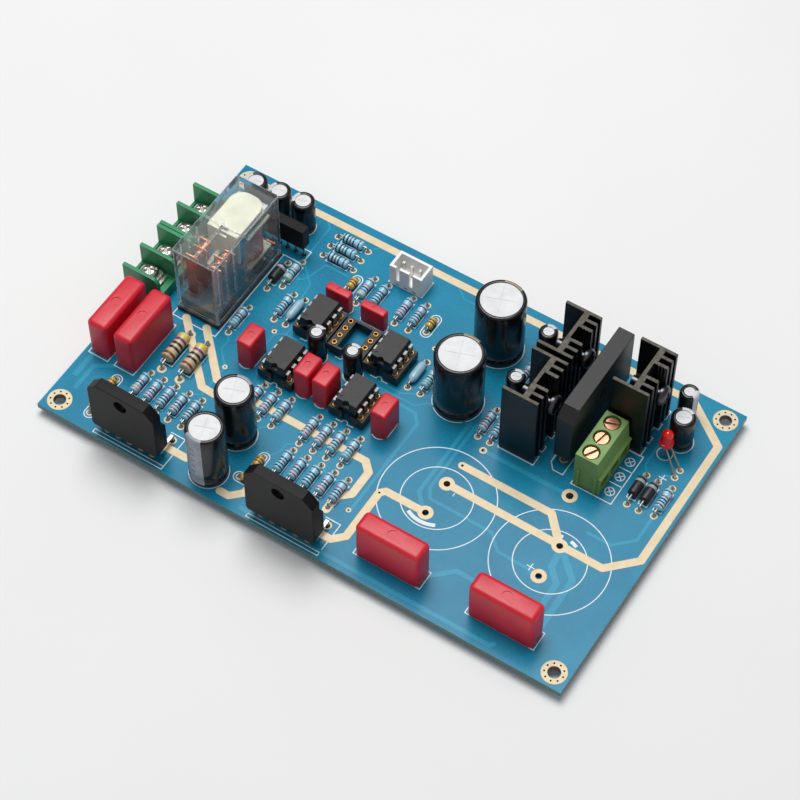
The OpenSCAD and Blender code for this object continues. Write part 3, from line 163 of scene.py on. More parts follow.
def blend_colour(tree, mask, below, above):
    """Lays one colour over another where the mask is 1. Either may be a colour or a socket."""
    mix = tree.nodes.new("ShaderNodeMix")
    mix.data_type = "RGBA"
    tree.links.new(mask, mix.inputs["Factor"])
    for key, colour in (("A", below), ("B", above)):
        if isinstance(colour, list):
            mix.inputs[key].default_value = colour
        else:
            tree.links.new(colour, mix.inputs[key])
    return mix.outputs["Result"]


mask_look = {
    "gloss": (0.2, 0.34), "patch_scale": 60, "grain_scale": 1400, "grain": 0.12, "Specular_IOR_Level": 0.2}
skin, rim_skin = 0.03, 0.05
mask_finish = finish("solder_mask", (24, 136, 170), (16, 122, 158), **mask_look)
tree = mask_finish.node_tree
place = tree.nodes.new("ShaderNodeTexCoord")
axes = tree.nodes.new("ShaderNodeSeparateXYZ")
tree.links.new(place.outputs["Object"], axes.inputs["Vector"])
wall = band_mask(tree, axes.outputs["Z"], board_t / 2 * mm, (board_t / 2 - skin) * mm)
inner_x = band_mask(tree, axes.outputs["X"], 0, (board_l / 2 - rim_skin) * mm)
inner_y = band_mask(tree, axes.outputs["Y"], 0, (board_w / 2 - rim_skin) * mm)
inner = tree.nodes.new("ShaderNodeMath")
inner.operation = "MULTIPLY"
tree.links.new(inner_x, inner.inputs[0])
tree.links.new(inner_y, inner.inputs[1])
fibres = tree.nodes.new("ShaderNodeTexWave")
fibres.bands_direction = "Z"
fibres.inputs["Scale"].default_value = 2200
fibres.inputs["Distortion"].default_value = 3
tree.links.new(place.outputs["Object"], fibres.inputs["Vector"])
laminate = blend_colour(tree, fibres.outputs["Fac"], srgb(58, 96, 96), srgb(104, 128, 112))
cut = blend_colour(tree, inner.outputs["Value"], laminate, srgb(120, 92, 58))
board_colour = blend_colour(tree, wall, tree.nodes["mottle"].outputs["Color"], cut)
tree.links.new(board_colour, tree.nodes["Principled BSDF"].inputs["Base Color"])
wear(nodes["circuit_board"], mask_finish)

# Tracks under the mask: etched copper that shows as paler, slightly raised lines.
# Each run of points is a track's middle line, with its width first.
track_h, track_step, mitre_limit = 0.03, 0.001, 0.4
mask_over_copper = finish("mask_over_copper", (44, 154, 186), (36, 144, 178), **mask_look)


def track(bm, width, points, height=track_h):
    """A flat line along a run of places, with mitred bends: its outline makes one face, which is raised."""
    places = [spot(x, y) for x, y in points]
    left, right = [], []
    for before, place, after in zip(places[:1] + places, places, places[1:] + places[-1:]):
        into, out_of = (place - before).normalized(), (after - place).normalized()
        along = (into + out_of).normalized()
        side = Vector((-along.y, along.x, 0))
        side *= width / 2 * mm / max(along.dot(into), along.dot(out_of), mitre_limit)
        left.append(place + side)
        right.append(place - side)
    face = bm.faces.new([bm.verts.new(p) for p in right + left[::-1]])
    raised = bmesh.ops.extrude_face_region(bm, geom=[face])["geom"]
    moved = [g for g in raised if isinstance(g, bmesh.types.BMVert)]
    bmesh.ops.translate(bm, vec=(0, 0, height * mm), verts=moved)
    face.normal_flip()


def piece(bm, name, materials, body="board", replaces=(), smooth=35):
    """Makes a mesh a piece of the object: its finish, its shading and the body it rides on."""
    mesh = bpy.data.meshes.new(name)
    for face in bm.faces:
        face.smooth = True
    bm.to_mesh(mesh)
    bm.free()
    if "custom_normal" in mesh.attributes:
        mesh.attributes.remove(mesh.attributes["custom_normal"])
    mesh.set_sharp_from_angle(angle=math.radians(smooth))
    for material in materials:
        mesh.materials.append(material)
    made = bpy.data.objects.new(name, mesh)
    bpy.context.scene.collection.objects.link(made)
    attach(made, body)
    if replaces:
        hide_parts(*replaces)
    return made


masked_tracks = [
    (1.1, [(94.6, 54), (94.6, 29.5), (97.2, 26.5), (98, 25.9)]),
    (0.9, [(96.3, 54), (96.3, 31.7), (98, 29.1), (115.7, 28.9), (119.7, 25.1), (130.1, 24.7)]),
    (1.7, [(132.4, 32.6), (132.9, 28.3), (136.3, 24.9), (136.3, 12)]),
    (1.7, [(133, 33.4), (134.3, 32.3), (139.1, 27.7), (139.1, 11.7)]),
    (1.4, [(108, 9), (109.1, 10), (114.3, 15.1), (122.6, 14.9)]),
    (0.9, [(72, 48.9), (81.4, 48.6), (83.6, 46), (83.4, 15.6)]),
    (1.2, [(60, 2), (131.4, 2), (132.6, 3.2)]),
    (1.3, [(101.6, 48.2), (124.9, 48.2)]),
    (0.5, [(29, 88.4), (31, 86.4), (31, 74), (36.9, 68), (37.6, 62), (39.4, 60.2)]),
    (0.5, [(33, 67.5), (35, 69.4), (36.8, 75.6), (44, 75.6)]),
    (0.5, [(44.4, 86.8), (46, 88), (70, 88), (73, 85.6), (78, 85.6)]),
    (0.5, [(31, 44), (36, 44), (38, 46.2), (38, 49.6), (40, 51.4), (44, 51.4)]),
    (0.5, [(40.6, 55), (40.6, 50.8), (43.5, 48)]),
    (0.5, [(66.8, 50.4), (72, 50.4), (80, 50.4), (82.5, 52.8), (98.3, 52.8)]),
    (0.5, [(68.5, 51.8), (75, 51.8), (79.5, 54)]),
    (0.5, [(46.2, 35.3), (46.2, 38.4), (43, 41.6), (43, 47.2)]),
    (0.5, [(53.2, 26), (51.4, 24.2), (50, 22)]),
    (0.5, [(62, 25.3), (59.4, 23.4), (59.4, 20.6), (57, 17.4)]),
    (0.5, [(70.3, 22.9), (72.4, 21.6), (74.3, 19.8), (78, 22.9)]),
    (0.5, [(27.8, 44), (29.2, 42), (29.2, 38.8), (33.2, 34.6)]),
    (0.5, [(33.2, 34.6), (33.2, 24.4), (30.4, 22.9)]),
    (0.6, [(98.9, 68.5), (103, 66.4), (103, 60.4), (101.8, 60.4)]),
    (0.6, [(84, 66.6), (80, 66.6), (75, 68.1)]),
    (0.6, [(142.7, 63.6), (142.7, 66), (145.5, 66.7)]),
    (0.6, [(139.4, 63.6), (137.5, 66.4), (137.5, 82)]),
    (0.9, [(146.6, 54.2), (146.6, 46), (142, 41.4), (135, 41.4)]),
    (0.6, [(20.1, 25.5), (18.6, 23)]),
    (0.6, [(25.8, 25.2), (26.5, 23)]),
    (1.2, [(5, 8.8), (5, 17), (9.6, 20)]),
    (1.5, [(2.6, 12), (2.6, 40)]),
]
bm = bmesh.new()
for i, (width, points) in enumerate(masked_tracks):
    track(bm, width, points, track_h + track_step * (i % 7))
piece(bm, "masked_tracks", [mask_over_copper])

# Bare copper: pads, corner rings and the wide supply tracks, left free of mask and tinned.
# The tin is matt and warm, with faint darker patches.
tinned = finish(
    "tinned_copper", (224, 207, 175), (216, 197, 163), gloss=(0.4, 0.6), patch_scale=500,
    grain_scale=2500, grain=0.25, Metallic=0.15, Specular_IOR_Level=0.25)
wear(nodes["bare_copper"], tinned)

# Printed outlines: one thin coat of white ink that shows where each part stands.
# Boxes, rings and ovals are drawn about as wide as a pen line.
print_ink = finish(
    "white_print", (236, 242, 244), (214, 228, 234), gloss=(0.35, 0.55), patch_scale=900,
    grain_scale=4000)
pen, ink_h, over_h = 0.26, 0.035, 0.038


def print_ring(bm, outline):
    """A closed printed line: the outline's face is inset by the pen, and its middle is taken out."""
    face = bm.faces.new([bm.verts.new(p) for p in outline])
    face.normal_update()
    if face.normal.z < 0:
        face.normal_flip()
    rim = bmesh.ops.inset_region(
        bm, faces=[face], thickness=pen * mm, use_even_offset=True, use_boundary=True)["faces"]
    bmesh.ops.delete(bm, geom=[face], context="FACES_ONLY")
    bmesh.ops.solidify(bm, geom=rim, thickness=ink_h * mm)


def print_box(bm, x0, y0, x1, y1):
    """A printed rectangle, by two opposite corners."""
    print_ring(bm, [spot(x, y, ink_h) for x, y in ((x0, y0), (x1, y0), (x1, y1), (x0, y1))])


def arc(x, y, radius, start, end, steps):
    """Places along part of a circle, by angles in degrees."""
    turns = [math.radians(start + (end - start) * i / steps) for i in range(steps + 1)]
    return [(x + radius * math.cos(t), y + radius * math.sin(t)) for t in turns]


def print_circle(bm, x, y, radius):
    """A printed circle, with more steps where it is larger."""
    steps = max(24, int(radius * 6))
    print_ring(bm, [spot(px, py, ink_h) for px, py in arc(x, y, radius, 0, 360, steps)[:-1]])


def print_oval(bm, x, y, turn, length, width):
    """A stadium round a part that lies along its turn."""
    r, half = width / 2, (length - width) / 2
    outline = arc(half, 0, r, -90, 90, 10) + arc(-half, 0, r, 90, 270, 10)
    c, s = math.cos(math.radians(turn)), math.sin(math.radians(turn))
    print_ring(bm, [spot(x + px * c - py * s, y + px * s + py * c, ink_h) for px, py in outline])


def print_line(bm, points, width=pen, height=ink_h):
    """An open printed line. One that crosses another is drawn a hair higher."""
    track(bm, width, points, height)


resistor_spots = (
    [(39.1, y, 0) for y in (78, 81.6, 85.2)]
    + [(x, 18.3, 90) for x in (18.6, 22.6, 26.5, 30.4, 34.4)]
    + [(x, 18.2, 90) for x in (62, 66.2, 70.3, 74.3, 78.3)]
    + [(x, 30.6, 90) for x in (45, 49.1, 53.2)]
    + [(x, 30, 90) for x in (62, 66.1, 70, 74.2)]
    + [(x, 74, 90) for x in (50.2, 54.4, 62, 66.2)]
    + [(31.2, 68.4, 90), (27.8, 48.7, 90), (35.3, 58.4, 90), (79.4, 58.9, 90)]
    + [(98.3, 55.7, 90), (101.8, 55.7, 90), (98.9, 73.2, 90), (146.6, 58.9, 90)]
)
output_spots = [(20.1, 31.9, 90), (25.8, 31.6, 90)]
diode_spots = [(28.2, 65.9, 90), (139.4, 58.6, 90), (142.7, 58.5, 90)]
axial_spots = [(38.7, 58.5, 90), (75.6, 58.8, 90)]
bead_spots = [(46.4, 73.5, 90), (70.4, 73.6, 90), (57, 14.8, 90), (57.4, 9.3, 0),
              (12.4, 14.3, 90), (12.7, 7.2, 90)]
output_film_spots = [(4.2, 29.6, 90), (12.2, 29.6, 90)]
supply_film_spots = [(100, 8.9, 0), (131.4, 9.3, 0)]
tall_film_spots = [(x, 41.1, 90) for x in (37.2, 54.4, 59.9, 77.2)]
low_film_spots = [(x, 66.7, 0) for x in (46.9, 57.6)]
# Each can has its size, its place, the turn of its leads, the direction of its stripe and its printed radius.
cans = [
    ("filter", 88.5, 57.6, 90, 88, 6.75), ("filter", 88.5, 77.2, 90, 86, 6.75),
    ("rail", 47.9, 6.6, 90, -96, 5.2), ("rail", 47.6, 19.4, 90, 84, 5.2),
    ("small", 10.8, 82.2, 0, 180, 3.35), ("small", 17.8, 82.8, 0, 180, 3.35),
    ("small", 24.9, 83.3, 0, 180, 3.35), ("small", 141.4, 76.8, 90, 90, 3.6),
    ("tiny", 51.2, 49.9, 90, 90, 2.7), ("tiny", 62, 49.9, 90, 90, 2.7), ("tiny", 100.2, 81.4, 90, 90, 2.7),
    ("tiny", 100.4, 65.2, 90, 90, 2.7), ("tiny", 138.9, 84.3, 0, 0, 2.7)]
socket_spots = [(x, y) for x in (46.8, 57.46, 68.12) for y in (57.9, 42) if (x, y) != (57.46, 42)]
sink_spots = [(108.9, 59), (108.9, 75.3), (129.9, 75.6)]
light_spot, light_print_r = (140, 71.6), 2.1
large_print_spots, large_print_r = [(99.3, 30.2), (131.8, 29.5)], (15, 9.2)
# Each arc of their polarity marks has its middle, radius, first and last angle, steps and width.
polarity_arcs = [
    (*large_print_spots[0], 7.9, 240, 299, 12, 1), (*large_print_spots[1], 7.7, 64, 79, 6, 0.9),
    (*large_print_spots[1], 7.7, 96, 112, 6, 0.9)]
polarity_tick = [(102.3, 32.7), (102.3, 33.7)]
plus_spots, plus_arm = [(128.7, 25.7), (143.1, 65)], 1.1
# The print of a large film capacitor reaches this far to the left, front, right and back of its middle.
film_prints = [(output_film_spots, (3.1, 9.8, 3.1, 9.2)), (supply_film_spots, (9.6, 3, 9.6, 2.6))]
power_chip_xs = (26.5, 72.6)
power_chip_front = [(-9.8, 1.7), (11.1, 1.7)]
power_chip_outline = [(-9.8, 1.7), (-9.8, 0.7), (11.1, 0.7), (11.1, 11), (6.8, 11)]
socket_front, notch_outline = 5.5, [(-2.6, 0), (-0.9, 0), *arc(0, 0, 0.8, 180, 0, 8), (0.9, 0), (2.6, 0)]
relay_outline = (12.2, 41, 25.8, 72.6)
protection_outline = [(25.8, 72.6), (31.3, 72.6), (31.3, 77.1), (11.4, 77.1)]
bridge_outline = [(117.4, 85.2), (117.4, 54.6), (119, 52.6), (121.8, 52.6), (121.8, 85.2), (117.4, 85.2)]
power_terminal_outline, header_outline = (124.6, 51.4, 136.2, 68), (53.3, 79.9, 63.7, 85.9)
wire_mark_x, wire_mark_ys, wire_mark_r, wire_cross_r = 134, (54.62, 59.7, 64.78), 1.35, 1.3
wire_divider_xs, wire_divider_ys = (132.4, 136.2), (57.2, 62.2)
bm = bmesh.new()
for spots, length, width in (
    (resistor_spots, 6.6, 2.5), (output_spots, 9.2, 3.8), (diode_spots, 6.4, 2.6),
):
    for x, y, turn in spots:
        half_x, half_y = (length / 2, width / 2) if turn == 0 else (width / 2, length / 2)
        print_box(bm, x - half_x, y - half_y, x + half_x, y + half_y)
for spots, length, width in ((bead_spots, 8, 3.1), (tall_film_spots, 8.6, 4.9), (low_film_spots, 8.2, 3)):
    for place in spots:
        print_oval(bm, *place, length, width)
for spots, (left, front, right, back) in film_prints:
    for x, y, turn in spots:
        print_box(bm, x - left, y - front, x + right, y + back)
for size, x, y, turn, stripe_dir, print_r in cans:
    print_circle(bm, x, y, print_r)
print_circle(bm, *light_spot, light_print_r)
for x, y in large_print_spots:
    for print_r in large_print_r:
        print_circle(bm, x, y, print_r)
for *course, width in polarity_arcs:
    print_line(bm, arc(*course), width)
print_line(bm, polarity_tick)
for x, y in plus_spots:
    print_line(bm, [(x - plus_arm, y), (x + plus_arm, y)])
    print_line(bm, [(x, y - plus_arm), (x, y + plus_arm)], height=over_h)
for x in power_chip_xs:
    print_line(bm, [(x + dx, y) for dx, y in power_chip_outline])
    print_line(bm, [(x + dx, y) for dx, y in power_chip_front], height=over_h)
print_box(bm, *relay_outline)
print_line(bm, protection_outline)
for x, y in socket_spots:
    print_line(bm, [(x + dx, y - socket_front + dy) for dx, dy in notch_outline])
sink_half = [(-4.9, -7.9), (5.3, -7.9), (5.3, -5), (4, -5), (4, -3.4), (5.3, -3.4), (5.3, -1.4), (4, -1.4)]
sink_outline = sink_half + [(x, -y) for x, y in reversed(sink_half)] + sink_half[:1]
for x, y in sink_spots:
    print_line(bm, [(x + dx, y + dy) for dx, dy in sink_outline])
print_line(bm, bridge_outline)
print_box(bm, *power_terminal_outline)
for y in wire_mark_ys:
    print_circle(bm, wire_mark_x, y, wire_mark_r)
    for angle, height in ((45, ink_h), (135, over_h)):
        print_line(bm, arc(wire_mark_x, y, wire_cross_r, angle, angle + 180, 1), height=height)
for y in wire_divider_ys:
    print_line(bm, [(x, y) for x in wire_divider_xs])
print_box(bm, *header_outline)
piece(bm, "printed_outlines", [print_ink], smooth=20)

# Film resistors: ceramic rods dipped in pale blue lacquer, with five painted colour bands.
# The end caps make both ends thicker, and the bands differ from value to value.
resistor_d, resistor_l, waist = 2.4, 6.3, 0.86
lift = 0.1
lacquer_blue = finish(
    "resistor_lacquer", (156, 216, 240), (138, 204, 232), gloss=(0.22, 0.4), patch_scale=900,
    grain_scale=2500, Coat_Weight=0.3)
band_colours = {
    "black": (38, 34, 40), "brown": (120, 66, 44), "red": (186, 58, 62), "orange": (222, 120, 48),
    "yellow": (226, 200, 70), "green": (72, 150, 110), "violet": (118, 60, 124), "grey": (140, 138, 140)}
bands = {
    name: finish("band_" + name, c, [v * 0.88 for v in c], gloss=(0.25, 0.42), patch_scale=900)
    for name, c in band_colours.items()}
resistor_inks = [lacquer_blue, *bands.values()]
ink_index = {name: i + 1 for i, name in enumerate(bands)}


def turned(profile, steps, matrix=Matrix.Identity(4)):
    """A turned shape: a profile of (radius, height) in mm is spun round Z, closed and set in place."""
    bm = bmesh.new()
    line = [bm.verts.new((r * mm, 0, z * mm)) for r, z in profile]
    edges = [bm.edges.new(pair) for pair in zip(line, line[1:])]
    bmesh.ops.spin(bm, geom=line + edges, cent=(0, 0, 0), axis=(0, 0, 1), angle=2 * math.pi, steps=steps,
                   use_merge=True)
    bmesh.ops.remove_doubles(bm, verts=bm.verts, dist=1e-7)
    bmesh.ops.dissolve_degenerate(bm, edges=bm.edges, dist=1e-8)
    bmesh.ops.recalc_face_normals(bm, faces=bm.faces)
    bmesh.ops.transform(bm, matrix=matrix, verts=bm.verts)
    return bm


def pattern(bm, name):
    """Keeps a shape as a mesh that can be stamped many times."""
    mesh = bpy.data.meshes.new(name)
    bm.to_mesh(mesh)
    bm.free()
    return mesh


def stamp(bm, mesh, matrix):
    """Adds a copy of a kept shape at a place."""
    placed = mesh.copy()
    placed.transform(matrix)
    bm.from_mesh(placed)
    bpy.data.meshes.remove(placed)


def lying(x, y, turn, diameter):
    """The matrix that lays a turned shape along its turn, just clear of the board."""
    along = Matrix.Rotation(math.radians(turn), 4, "Z") @ Matrix.Rotation(math.pi / 2, 4, "Y")
    return Matrix.Translation(spot(x, y, diameter / 2 + lift)) @ along


def painted_rod(end, middle, rings, steps):
    """A rod turned along Z with both ends alike. Its painted rings are (from, to, ink) along its length."""
    bm = turned([(r, -z) for r, z in end] + middle + end[::-1], steps)
    for face in bm.faces:
        z = face.calc_center_median().z / mm
        for low, high, ink in rings:
            if low < z < high:
                face.material_index = ink
    return bm


def capped_rod(length, diameter, waist, rings, steps=20):
    """A dipped rod that is thicker over the caps at both ends."""
    r, h = diameter / 2, length / 2
    cap, shoulder = h - 1.4, h - 1.9
    heights = {sign * z for sign in (-1, 1) for z in (h - 0.5, cap, shoulder)}
    heights |= {z for low, high, ink in rings for z in (low, high)}

    def radius(z):
        t = min(max((abs(z) - shoulder) / (cap - shoulder), 0), 1)
        return r * (waist + (1 - waist) * t * t * (3 - 2 * t))

    end = [(0, h), (r * 0.4, h - 0.02), (r * 0.75, h - 0.14), (r * 0.93, h - 0.3)]
    return painted_rod(end, [(radius(z), z) for z in sorted(heights)], rings, steps)


codes = [
    ("brown", "black", "black", "red", "brown"), ("red", "red", "black", "red", "brown"),
    ("black", "black", "brown", "black", "brown"), ("yellow", "violet", "black", "orange", "brown"),
    ("orange", "orange", "black", "red", "brown"), ("grey", "green", "black", "red", "brown")]
band_starts, band_w = (-2.55, -1.55, -0.65, 0.25, 1.9), 0.42
resistor_patterns = []
for code in codes:
    rings = [(z, z + band_w, ink_index[ink]) for z, ink in zip(band_starts, code)]
    resistor_patterns.append(pattern(capped_rod(resistor_l, resistor_d, waist, rings), "resistor"))
bm = bmesh.new()
code_of = [2, 2, 2, 4, 1, 0, 1, 0, 2, 1, 2, 1, 0, 0, 1, 5, 1, 1, 0, 5, 3, 2, 1, 0, 3, 5, 2, 5, 1, 0, 1, 0]
for (x, y, turn), code in zip(resistor_spots, code_of):
    stamp(bm, resistor_patterns[code], lying(x, y, turn, resistor_d))
piece(bm, "resistor_bodies", resistor_inks, replaces=["film_resistors"])

# Output resistors: thicker rods of the same make in a tan lacquer, in line with the speakers.
# Their bands are brown, black, violet and yellow.
output_d, output_l, output_waist = 3.6, 8.6, 0.92


def lay(shape, spots, diameter):
    """Copies of a kept shape, laid at each of its places."""
    bm = bmesh.new()
    for place in spots:
        stamp(bm, shape, lying(*place, diameter))
    return bm


lacquer_tan = finish(
    "tan_lacquer", (212, 188, 148), (196, 170, 128), gloss=(0.25, 0.45), patch_scale=700,
    grain_scale=2500, Coat_Weight=0.25)
output_rings = [
    (-3.6, 0.8, "brown"), (-1.5, 0.75, "black"), (0, 0.75, "black"), (1.5, 0.75, "violet"),
    (2.75, 0.95, "yellow")]
rings = [(z, z + w, ink_index[ink]) for z, w, ink in output_rings]
output_pattern = pattern(capped_rod(output_l, output_d, output_waist, rings, 24), "output_resistor")
piece(lay(output_pattern, output_spots, output_d), "output_resistor_bodies", [lacquer_tan, *bands.values()],
      replaces=["output_resistors"])

# Diodes: moulded black epoxy barrels with a silver ring printed at the cathode end.
# Both ends have a small edge radius from the mould.
diode_d, diode_l, ring_from, ring_to = 2.7, 5.2, 1.1, 1.9
epoxy_black = finish(
    "black_epoxy", (34, 34, 37), (26, 26, 29), gloss=(0.35, 0.55), patch_scale=500,
    grain_scale=5000, grain=0.3)
ring_silver = finish(
    "silver_print", (176, 178, 182), (150, 152, 158), gloss=(0.35, 0.5), patch_scale=900)
r, h = diode_d / 2, diode_l / 2
end = [(0, h), (r - 0.25, h), (r - 0.07, h - 0.07), (r, h - 0.25)]
bm = painted_rod(end, [(r, ring_from), (r, ring_to)], [(ring_from, ring_to, 1)], 24)
piece(lay(pattern(bm, "diode"), diode_spots, diode_d), "diode_bodies", [epoxy_black, ring_silver],
      replaces=["diodes"])

# Axial capacitors: pale blue dipped drops that taper to both wires.
# The dip runs a little way along the wires before it stops.
axial_d, axial_l = 2.4, 7
dip_blue = finish(
    "pale_blue_dip", (166, 200, 216), (146, 184, 204), gloss=(0.22, 0.4), patch_scale=600,
    grain_scale=1500, grain=0.2, Coat_Weight=0.3)
r, h = axial_d / 2, axial_l / 2
end = [(0, h), (r * 0.35, h), (r * 0.5, h - 0.25), (r * 0.84, h - 0.8), (r * 0.97, h - 1.4), (r, h - 2.1)]
axial_pattern = pattern(painted_rod(end, [], [], 24), "axial_capacitor")
piece(lay(axial_pattern, axial_spots, axial_d), "axial_capacitor_bodies", [dip_blue],
      replaces=["axial_capacitors"])

# Bead capacitors: small amber glass-like beads with two darker bands.
# They lie on short wires over an oval print.
bead_d, bead_l = 2.2, 3.2
bead_bands = ((-0.55, -0.15, 1), (0.3, 0.7, 1))
amber = finish(
    "amber_dip", (216, 182, 76), (200, 160, 58), gloss=(0.15, 0.3), patch_scale=700, Coat_Weight=0.4)
r, h = bead_d / 2, bead_l / 2
end = [(0, h), (r * 0.5, h), (r * 0.85, h - 0.2), (r, h - 0.5)]
bm = painted_rod(end, [(r, z) for band in bead_bands for z in band[:2]], bead_bands, 20)
piece(lay(pattern(bm, "bead_capacitor"), bead_spots, bead_d), "bead_capacitor_bodies",
      [amber, bands["brown"]], replaces=["bead_capacitors"])

# Wire leads: tinned copper wire, bent down at both ends of an axial part, put through the holes and cut off
# below. Solder stands round each wire as a low cone under the board, and just shows on the pads above.
wire_d, tail, pin_d = 0.6, 1.6, 1.1
lead_tin = finish(
    "tinned_wire", (188, 184, 176), (160, 154, 144), gloss=(0.25, 0.45), patch_scale=900,
    Metallic=0.9)
solder = finish(
    "solder", (206, 206, 204), (178, 178, 178), gloss=(0.16, 0.34), patch_scale=1200,
    grain_scale=1800, Metallic=0.9)


def pull(bm, rim, step):
    """Draws an open rim of edges along a step, and returns the new rim."""
    made = bmesh.ops.extrude_edge_only(bm, edges=rim)["geom"]
    moved = [g for g in made if isinstance(g, bmesh.types.BMVert)]
    bmesh.ops.translate(bm, vec=Vector(step) * mm, verts=moved)
    return [g for g in made if isinstance(g, bmesh.types.BMEdge) and g.is_boundary]


def bent_wire(reach, axis_h):
    """A wire that comes up through its hole, turns over and runs back to a body."""
    bend = 1.2 * wire_d
    bm = bmesh.new()
    foot = Matrix.Translation((0, 0, -(board_t + tail) * mm))
    bmesh.ops.create_circle(bm, segments=10, radius=wire_d / 2 * mm, matrix=foot)
    rim = pull(bm, bm.edges[:], (0, 0, board_t + tail + axis_h - bend))
    rim_verts = list(dict.fromkeys(v for e in rim for v in e.verts))
    turn = bmesh.ops.spin(
        bm, geom=rim + rim_verts, cent=Vector((-bend, 0, axis_h - bend)) * mm, axis=(0, -1, 0),
        angle=math.pi / 2, steps=5)
    pull(bm, [g for g in turn["geom_last"] if isinstance(g, bmesh.types.BMEdge)], (bend - reach, 0, 0))
    bmesh.ops.holes_fill(bm, edges=bm.edges, sides=0)
    bmesh.ops.recalc_face_normals(bm, faces=bm.faces)
    return bm


def ends(x, y, turn, pitch):
    """The two holes of a part: their places and which way each one faces, away from the body."""
    c, s = math.cos(math.radians(turn)), math.sin(math.radians(turn))
    return [(x + k * c * pitch / 2, y + k * s * pitch / 2, turn if k > 0 else turn + 180) for k in (1, -1)]


def upright(x, y, turn=0, z=0.0):
    """The matrix that stands a shape at a place on the board."""
    return Matrix.Translation(spot(x, y, z)) @ Matrix.Rotation(math.radians(turn), 4, "Z")


def straight_wire(bm, low, high, radius, segments=10):
    """A round wire between two places, closed at both ends."""
    run = high - low
    bmesh.ops.create_cone(
        bm, cap_ends=True, segments=segments, radius1=radius * mm, radius2=radius * mm, depth=run.length,
        matrix=Matrix.Translation((low + high) / 2) @ run.to_track_quat("Z", "Y").to_matrix().to_4x4())


def coned(foot_r, wire_r, height, steps=14):
    """Solder that wets a pad and rises to a wire, as a turned shape that stands on z = 0."""
    return turned([(0, 0), (foot_r, 0), (foot_r * 0.62 + wire_r * 0.38, height * 0.16),
                   (foot_r * 0.25 + wire_r * 0.75, height * 0.45), (wire_r, height), (0, height)], steps)


def inked(bm, index):
    """Gives every face of a shape one of its piece's materials."""
    for face in bm.faces:
        face.material_index = index
    return bm


top_solder = pattern(inked(coned(foot_r=0.66, wire_r=0.34, height=0.3), 1), "top_solder")
low_solder = pattern(inked(coned(foot_r=0.85, wire_r=0.32, height=0.9), 1), "low_solder")
stout_solder = pattern(inked(coned(foot_r=1.15, wire_r=0.56, height=1.2), 1), "stout_solder")
flipped = Matrix.Rotation(math.pi, 4, "X")


def soldered(bm, x, y, shape=low_solder):
    """Solder under the board, round a pin."""
    stamp(bm, shape, upright(x, y, 0, -board_t) @ flipped)


pad_h, wire_in = 0.05, 0.3
bm = bmesh.new()
for spots, pitch, length, diameter in (
    (resistor_spots, 9.4, resistor_l, resistor_d), (output_spots, 12.8, output_l, output_d),
    (diode_spots, 9.9, diode_l, diode_d), (axial_spots, 9.2, axial_l, axial_d),
    (bead_spots, 4.6, bead_l, bead_d),
):
    shape = pattern(bent_wire((pitch - length) / 2 + wire_in, diameter / 2 + lift), "bent_wire")
    for x, y, turn in (end for part in spots for end in ends(*part, pitch)):
        stamp(bm, shape, upright(x, y, turn))
        stamp(bm, top_solder, upright(x, y, 0, pad_h))
        soldered(bm, x, y)
can_pitch, can_lead_top = {"filter": 5, "rail": 5, "small": 2.5, "tiny": 2}, 0.6
large_film_pitch, small_film_pitch, film_lead_top = 15, 5, 0.2
pairs = [(part, can_pitch[size], can_lead_top) for size, *part, stripe_dir, print_r in cans]
pairs += [(part, large_film_pitch, film_lead_top) for part in output_film_spots + supply_film_spots]
pairs += [(part, small_film_pitch, film_lead_top) for part in tall_film_spots + low_film_spots]
straight = [(x, y, top) for part, pitch, top in pairs for x, y, turn in ends(*part, pitch)]
lead_pitch, regulator_lead_x, regulator_lead_top = 2.54, -2.2, 4.7
for x, y in sink_spots:
    straight += [(x + regulator_lead_x, y + lead_pitch * k, regulator_lead_top) for k in (-1, 0, 1)]
protection_middle, protection_row, protection_lead_top = 21.2, 75.4, 4.2
for k in range(8):
    straight.append((protection_middle + lead_pitch * (k - 3.5), protection_row, protection_lead_top))
for x, y, top in straight:
    straight_wire(bm, spot(x, y, -board_t - tail), spot(x, y, top), wire_d / 2)
    soldered(bm, x, y)
bridge_x, bridge_pin_ys, bridge_pin_top = 119.8, (56.8, 66.8, 74.3, 81.8), 3.2
for y in bridge_pin_ys:
    straight_wire(bm, spot(bridge_x, y, -board_t - tail), spot(bridge_x, y, bridge_pin_top), pin_d / 2, 14)
    soldered(bm, bridge_x, y, stout_solder)
light_wire_d, light_knee, light_root_h = 0.5, 0.7, 4.9
light_feet = [((145.6, 69.2), 0.8), ((145.5, 66.7), -0.8)]
for foot, side in light_feet:
    root = spot(light_spot[0], light_spot[1] + side, light_root_h)
    straight_wire(bm, spot(*foot, light_knee), root, light_wire_d / 2)
    straight_wire(bm, spot(*foot, -board_t - tail), spot(*foot, light_knee + pad_h), wire_d / 2)
    stamp(bm, top_solder, upright(*foot, 0, pad_h))
    soldered(bm, *foot)
piece(bm, "wire_leads", [lead_tin, solder], replaces=["component_leads"], smooth=50)

# Speaker terminals: two moulded green barrier blocks that hang over the board's edge, with walls between.
# Each bay has a nickel-plated lug, a square clamp plate and a cross-headed screw that lifts with it.
barrier_green = finish(
    "green_moulding", (38, 142, 92), (30, 128, 82), gloss=(0.32, 0.5), patch_scale=150,
    grain_scale=2600, grain=0.2)
nickel = finish(
    "nickel_plate", (214, 212, 206), (190, 188, 182), gloss=(0.16, 0.34), patch_scale=500,
    grain_scale=3000, grain=0.06, Metallic=1)
fold_angle = math.radians(35)


